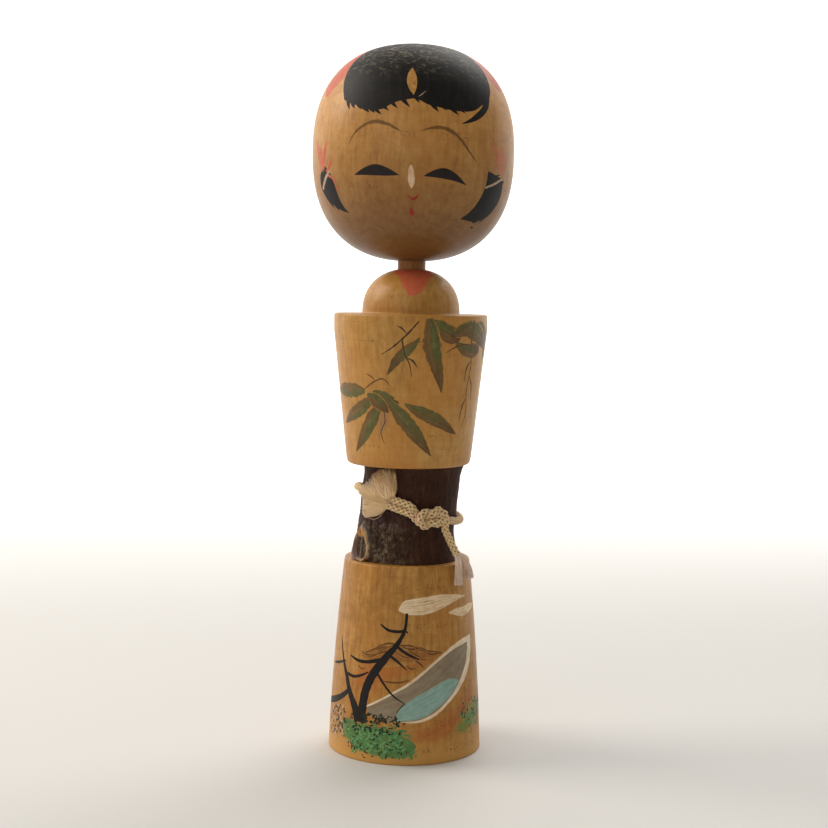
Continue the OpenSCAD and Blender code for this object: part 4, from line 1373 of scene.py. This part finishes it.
paint("skirt", "lake_teal_paint", lakeTeal, "lake_teal", [(124, 166, 158), (152, 192, 182)], cover=0.93,
    soft=0.03, brush=(4, 9), dry=0.12)

ridges = [
    [[-37, 36.4, 0.3], [-28, 38, 0.5], [-20, 40, 0.5], [-12, 41, 0.6], [-5, 40.5, 0.5], [6, 40.2, 0.5],
     [14, 38.7, 0.5], [22, 38.3, 0.4], [31, 37.4, 0.2]],
    [[-24, 36.2, 0.2], [-19, 38.6, 0.4], [-13, 39.8, 0.3], [-9, 40.6, 0.2]],
    [[-5, 38.4, 0.2], [3, 37.6, 0.4], [12, 35.8, 0.3], [19, 35.6, 0.15]],
    [[-20, 28.2, 0.15], [-12, 28, 0.5], [-4, 28, 0.5], [3, 28.8, 0.15]],
    [[-37, 37.3, 0.3], [-31, 36.3, 0.6], [-26, 36.8, 0.3]],
    [[-31, 37.4, 0.3], [-23, 38.9, 0.7], [-15, 39.9, 0.4]],
    [[-33, 35.4, 0.2], [-27, 36.2, 0.6], [-20, 37.6, 0.6], [-12, 38.4, 0.2]],
    [[-4, 40.4, 0.3], [4, 39.2, 0.6], [12, 39.6, 0.5], [20, 38, 0.3]],
    [[3, 38.7, 0.2], [9, 37.2, 0.5], [13.5, 36.2, 0.3]],
    [[-8, 38.4, 0.2], [-2, 36.8, 0.5], [3, 36.4, 0.3]],
    [[8, 35.4, 0.3], [12, 34.2, 0.6], [14.5, 33, 0.3]],
    [[14, 38.4, 0.3], [20, 37.4, 0.5], [27, 37.6, 0.3]],
    [[-40, 32.4, 0.2], [-36, 31.4, 0.5], [-33, 31.8, 0.2]],
    [[1, 33.6, 0.2], [5, 32.6, 0.5], [8, 32.8, 0.2]], [[-28, 34, 0.3], [-20, 35.2, 0.6], [-13, 36, 0.2]]]
paint("skirt", "ridge_paint",
    [stroke(skirtRadius, [[a, z, w * 1.8] for a, z, w in rows], i, 1.2) for i, rows in enumerate(ridges)],
    "ridge_brown", [(66, 32, 12), (92, 50, 22)], cover=0.88, soft=0.5, brush=(6, 4), dry=0.2)

treeRows = [
    [[-34, 13.2, 3.4], [-33.5, 18.7, 3.2], [-31.6, 23.9, 3.1], [-26.8, 29.1, 3.0], [-22.9, 31.8, 2.9],
     [-18.5, 34.4, 2.7], [-13.5, 37.1, 2.3], [-8.3, 39.7, 1.8], [-4.4, 42.2, 1.4], [-1.4, 44.7, 1.2],
     [0.1, 47.1, 1], [0.9, 51.2, 0.9]],
    [[-1, 45.2, 1], [-7.5, 45, 1], [-14.9, 45.5, 0.9], [-21, 47.2, 0.5]],
    [[-3, 45.4, 0.7], [-0.5, 45.2, 0.7], [2, 44.8, 0.4]],
    [[-15, 35.7, 1.2], [-22, 34.9, 1.3], [-31, 34, 1.2], [-40, 33.9, 1.1], [-49, 35, 0.5]],
    [[-7, 40.2, 0.9], [-2, 38.6, 0.9], [4, 37, 0.8], [11, 35.7, 0.3]],
    [[-12.5, 37, 1], [-5.7, 34.9, 0.8], [1.4, 32.2, 0.3]],
    [[-21.5, 30.4, 0.8], [-15.6, 26.8, 0.7], [-8.5, 23.4, 0.6], [0.2, 20.9, 0.2]],
    [[0.2, 20.9, 0.3], [-3.3, 19.3, 0.3], [-6, 17.8, 0.1]],
    [[-37, 13.4, 3.4], [-40.5, 17.6, 3], [-44.8, 20.8, 2.5], [-48.8, 24, 2.1], [-52, 27.6, 1.8],
     [-55, 30, 1.5], [-58, 32.8, 1.1], [-61.5, 36.4, 0.8], [-64.6, 40.4, 0.3]],
    [[-51, 28.6, 1.1], [-43.9, 28.2, 1], [-36.4, 29.1, 0.9], [-29.5, 30.6, 0.4]],
    [[-76.5, 30.1, 0.8], [-63.5, 31.4, 0.9], [-54, 32.9, 0.3]],
    [[-47.5, 24.2, 1.2], [-51, 22.2, 1.5], [-56, 20.6, 1.9], [-64, 18.8, 2.2], [-76, 17, 2.3],
     [-92, 15.2, 1.6], [-104, 14.4, 0.3]]]
paint("skirt", "tree_paint",
    [stroke(skirtRadius, rows, i, 2.2 + 0.05 * i, ragged=0.12) for i, rows in enumerate(treeRows)],
    "tree_black", [(16, 11, 9), (28, 22, 19)], soft=0, brush=(4, 12), rough=0.55, coat=0.05)


def scatter(count, low, high, lengths, widths, lean):
    # dabs strewn over a box of azimuth and height, thinned towards its outline
    a, z = rng.uniform(low[0], high[0], count), rng.uniform(low[1], high[1], count)
    x = (a - (low[0] + high[0]) / 2) / ((high[0] - low[0]) / 2)
    y = (z - (low[1] + high[1]) / 2) / ((high[1] - low[1]) / 2)
    keep = np.hypot(x, y) < rng.uniform(0.65, 1.12, count)
    a, z = a[keep], z[keep]
    n = len(a)
    return (a, z, rng.uniform(*lengths, n), rng.uniform(*widths, n), rng.normal(*lean, n))


grassWash = [between(skirtRadius,
    [[-55, 10.2], [-50, 7.4], [-44, 4.8], [-35.6, 2.5], [-26, 1.6], [-18.4, 1.3], [-8, 1.1], [-1, 1.4],
     [5, 3], [9, 6.2]],
    [[-54.5, 12], [-49.8, 14.4], [-40, 14.6], [-31.6, 14.2], [-24, 14.4], [-17, 13.8], [-9, 13.4],
     [-3.6, 12.2], [3, 9.8], [9, 7]], 1, 0.3, rows=70, cols=30)]
paint("skirt", "grass_wash_paint", grassWash, "grass_wash", [(50, 88, 42), (72, 126, 68), (90, 146, 86)],
    cover=0.95, soft=0.3, brush=(22, 12), dry=0.45, ends=0.08)
bushWash = [between(skirtRadius, [[39, 9.4], [47.5, 7.6], [60, 7.6], [71, 8.6], [88, 12]],
    [[40, 11.6], [46, 14.4], [55.7, 17.4], [66, 20.4], [84, 23.5]], 1, 0.3, rows=40, cols=20)]
paint("skirt", "bush_wash_paint", bushWash, "bush_wash", [(96, 124, 44), (120, 146, 60)], cover=0.85,
    soft=0.7, brush=(9, 7), dry=0.4, ends=0.35)
grassSets = [("grass_green", [(66, 122, 64), (94, 150, 90)], 1.2,
    [(330, (-53, 2.4), (6, 13.8), (1.0, 2.2), (0.5, 1.0), (0.6, 0.6)),
     (60, (-8, 1.6), (10, 8), (0.9, 1.8), (0.4, 0.8), (0.7, 0.6)),
     (130, (44, 8), (84, 20), (0.8, 2.1), (0.4, 0.8), (1.1, 0.5))]),
    ("grass_dark", [(22, 26, 16), (40, 46, 26)], 2.4,
     [(150, (-52, 9), (2, 17), (0.7, 1.7), (0.35, 0.75), (0.4, 0.8)),
      (150, (-54, 1.6), (6, 13), (0.6, 1.5), (0.3, 0.6), (0.6, 0.8)),
      (90, (48, 9), (86, 22), (0.8, 1.9), (0.35, 0.8), (1.1, 0.5)),
      (90, (-44, 13.4), (2, 16.6), (0.7, 1.9), (0.4, 0.9), (0.3, 0.8))]),
    ("grass_light", [(104, 156, 96), (126, 172, 114)], 3.6,
     [(120, (-48, 3), (0, 12), (0.8, 1.9), (0.35, 0.7), (0.6, 0.6))]),
    ("earth_light", [(170, 132, 90), (198, 164, 120)], 0.8,
     [(90, (-86, 6), (-48, 17.5), (0.9, 2.1), (0.6, 1.2), (0.9, 0.6)),
      (16, (-20, 14), (0, 16), (0.7, 1.3), (0.5, 0.9), (0.3, 0.6))]),
    ("earth_dark", [(36, 26, 18), (58, 40, 28)], 1.6,
     [(110, (-86, 5.6), (-50, 18.5), (0.8, 2.0), (0.4, 0.9), (1.0, 0.6))])]
for name, tints, level, sets in grassSets:
    films = [dabs(skirtRadius, *scatter(*part), level) for part in sets]
    paint("skirt", name + "_paint", films, name, tints, soft=0, brush=(1.3, 3))
print("skirt painted")


studio = dict(floor=(0.66, 0.65, 0.635), world=(1.0, 0.955, 0.87), worldStrength=0.275, wall=0.95)


def addStage():
    # a wide floor that sweeps up behind the doll into a wall, as one sheet; the wall glows faintly
    across = np.linspace(-4, 4, 9)
    turn = np.linspace(0, np.pi / 2, 16)
    y = np.concatenate([[-2.0, -0.6, 0.3], 0.9 + 0.8 * np.sin(turn), [1.7]])
    z = np.concatenate([[0, 0, 0], 0.8 - 0.8 * np.cos(turn), [4.0]])
    points = np.stack([np.tile(across, len(y)), np.repeat(y, 9), np.repeat(z, 9)], -1)
    material, tree, shader = newMaterial("pale_sweep")
    depth = axes(tree, objectPlace(tree))[1]
    glow = spread(tree, depth, 0.12, 1.1, studio["wall"], "SMOOTHSTEP")
    tree.links.new(glow, shader.inputs["Emission Strength"])
    shader.inputs["Emission Color"].default_value = (1, 0.99, 0.97, 1)
    shader.inputs["Base Color"].default_value = (*studio["floor"], 1)
    shader.inputs["Roughness"].default_value = 0.6
    addMesh("pale_stage", points, gridQuads(len(y), 9), None, material)


def addLight(name, place, aim, size, power, tint):
    # a square soft box that faces its aim
    data = bpy.data.lights.new(name, "AREA")
    data.size = size
    data.energy = power
    data.color = tint
    lamp = bpy.data.objects.new(name, data)
    bpy.context.scene.collection.objects.link(lamp)
    lamp.location = place
    lamp.rotation_euler = (Vector(aim) - Vector(place)).to_track_quat("-Z", "Y").to_euler()


addStage()
addLight("key", (-0.90, 0.16, 0.78), (0, 0, 0.14), 0.60, 8.0, (1.0, 0.94, 0.85))
addLight("fill", (-0.50, -0.90, 0.62), (0, 0, 0.14), 0.90, 2.0, (1.0, 0.95, 0.86))
addLight("top", (0.36, 0.58, 0.95), (0, 0, 0.2), 0.55, 3.5, (1.0, 0.97, 0.93))
world = bpy.data.worlds.new("studio")
world.use_nodes = True
world.node_tree.nodes["Background"].inputs[0].default_value = (*studio["world"], 1)
world.node_tree.nodes["Background"].inputs[1].default_value = studio["worldStrength"]
bpy.context.scene.world = world
bpy.context.scene.view_settings.view_transform = "Standard"
print("studio ready")
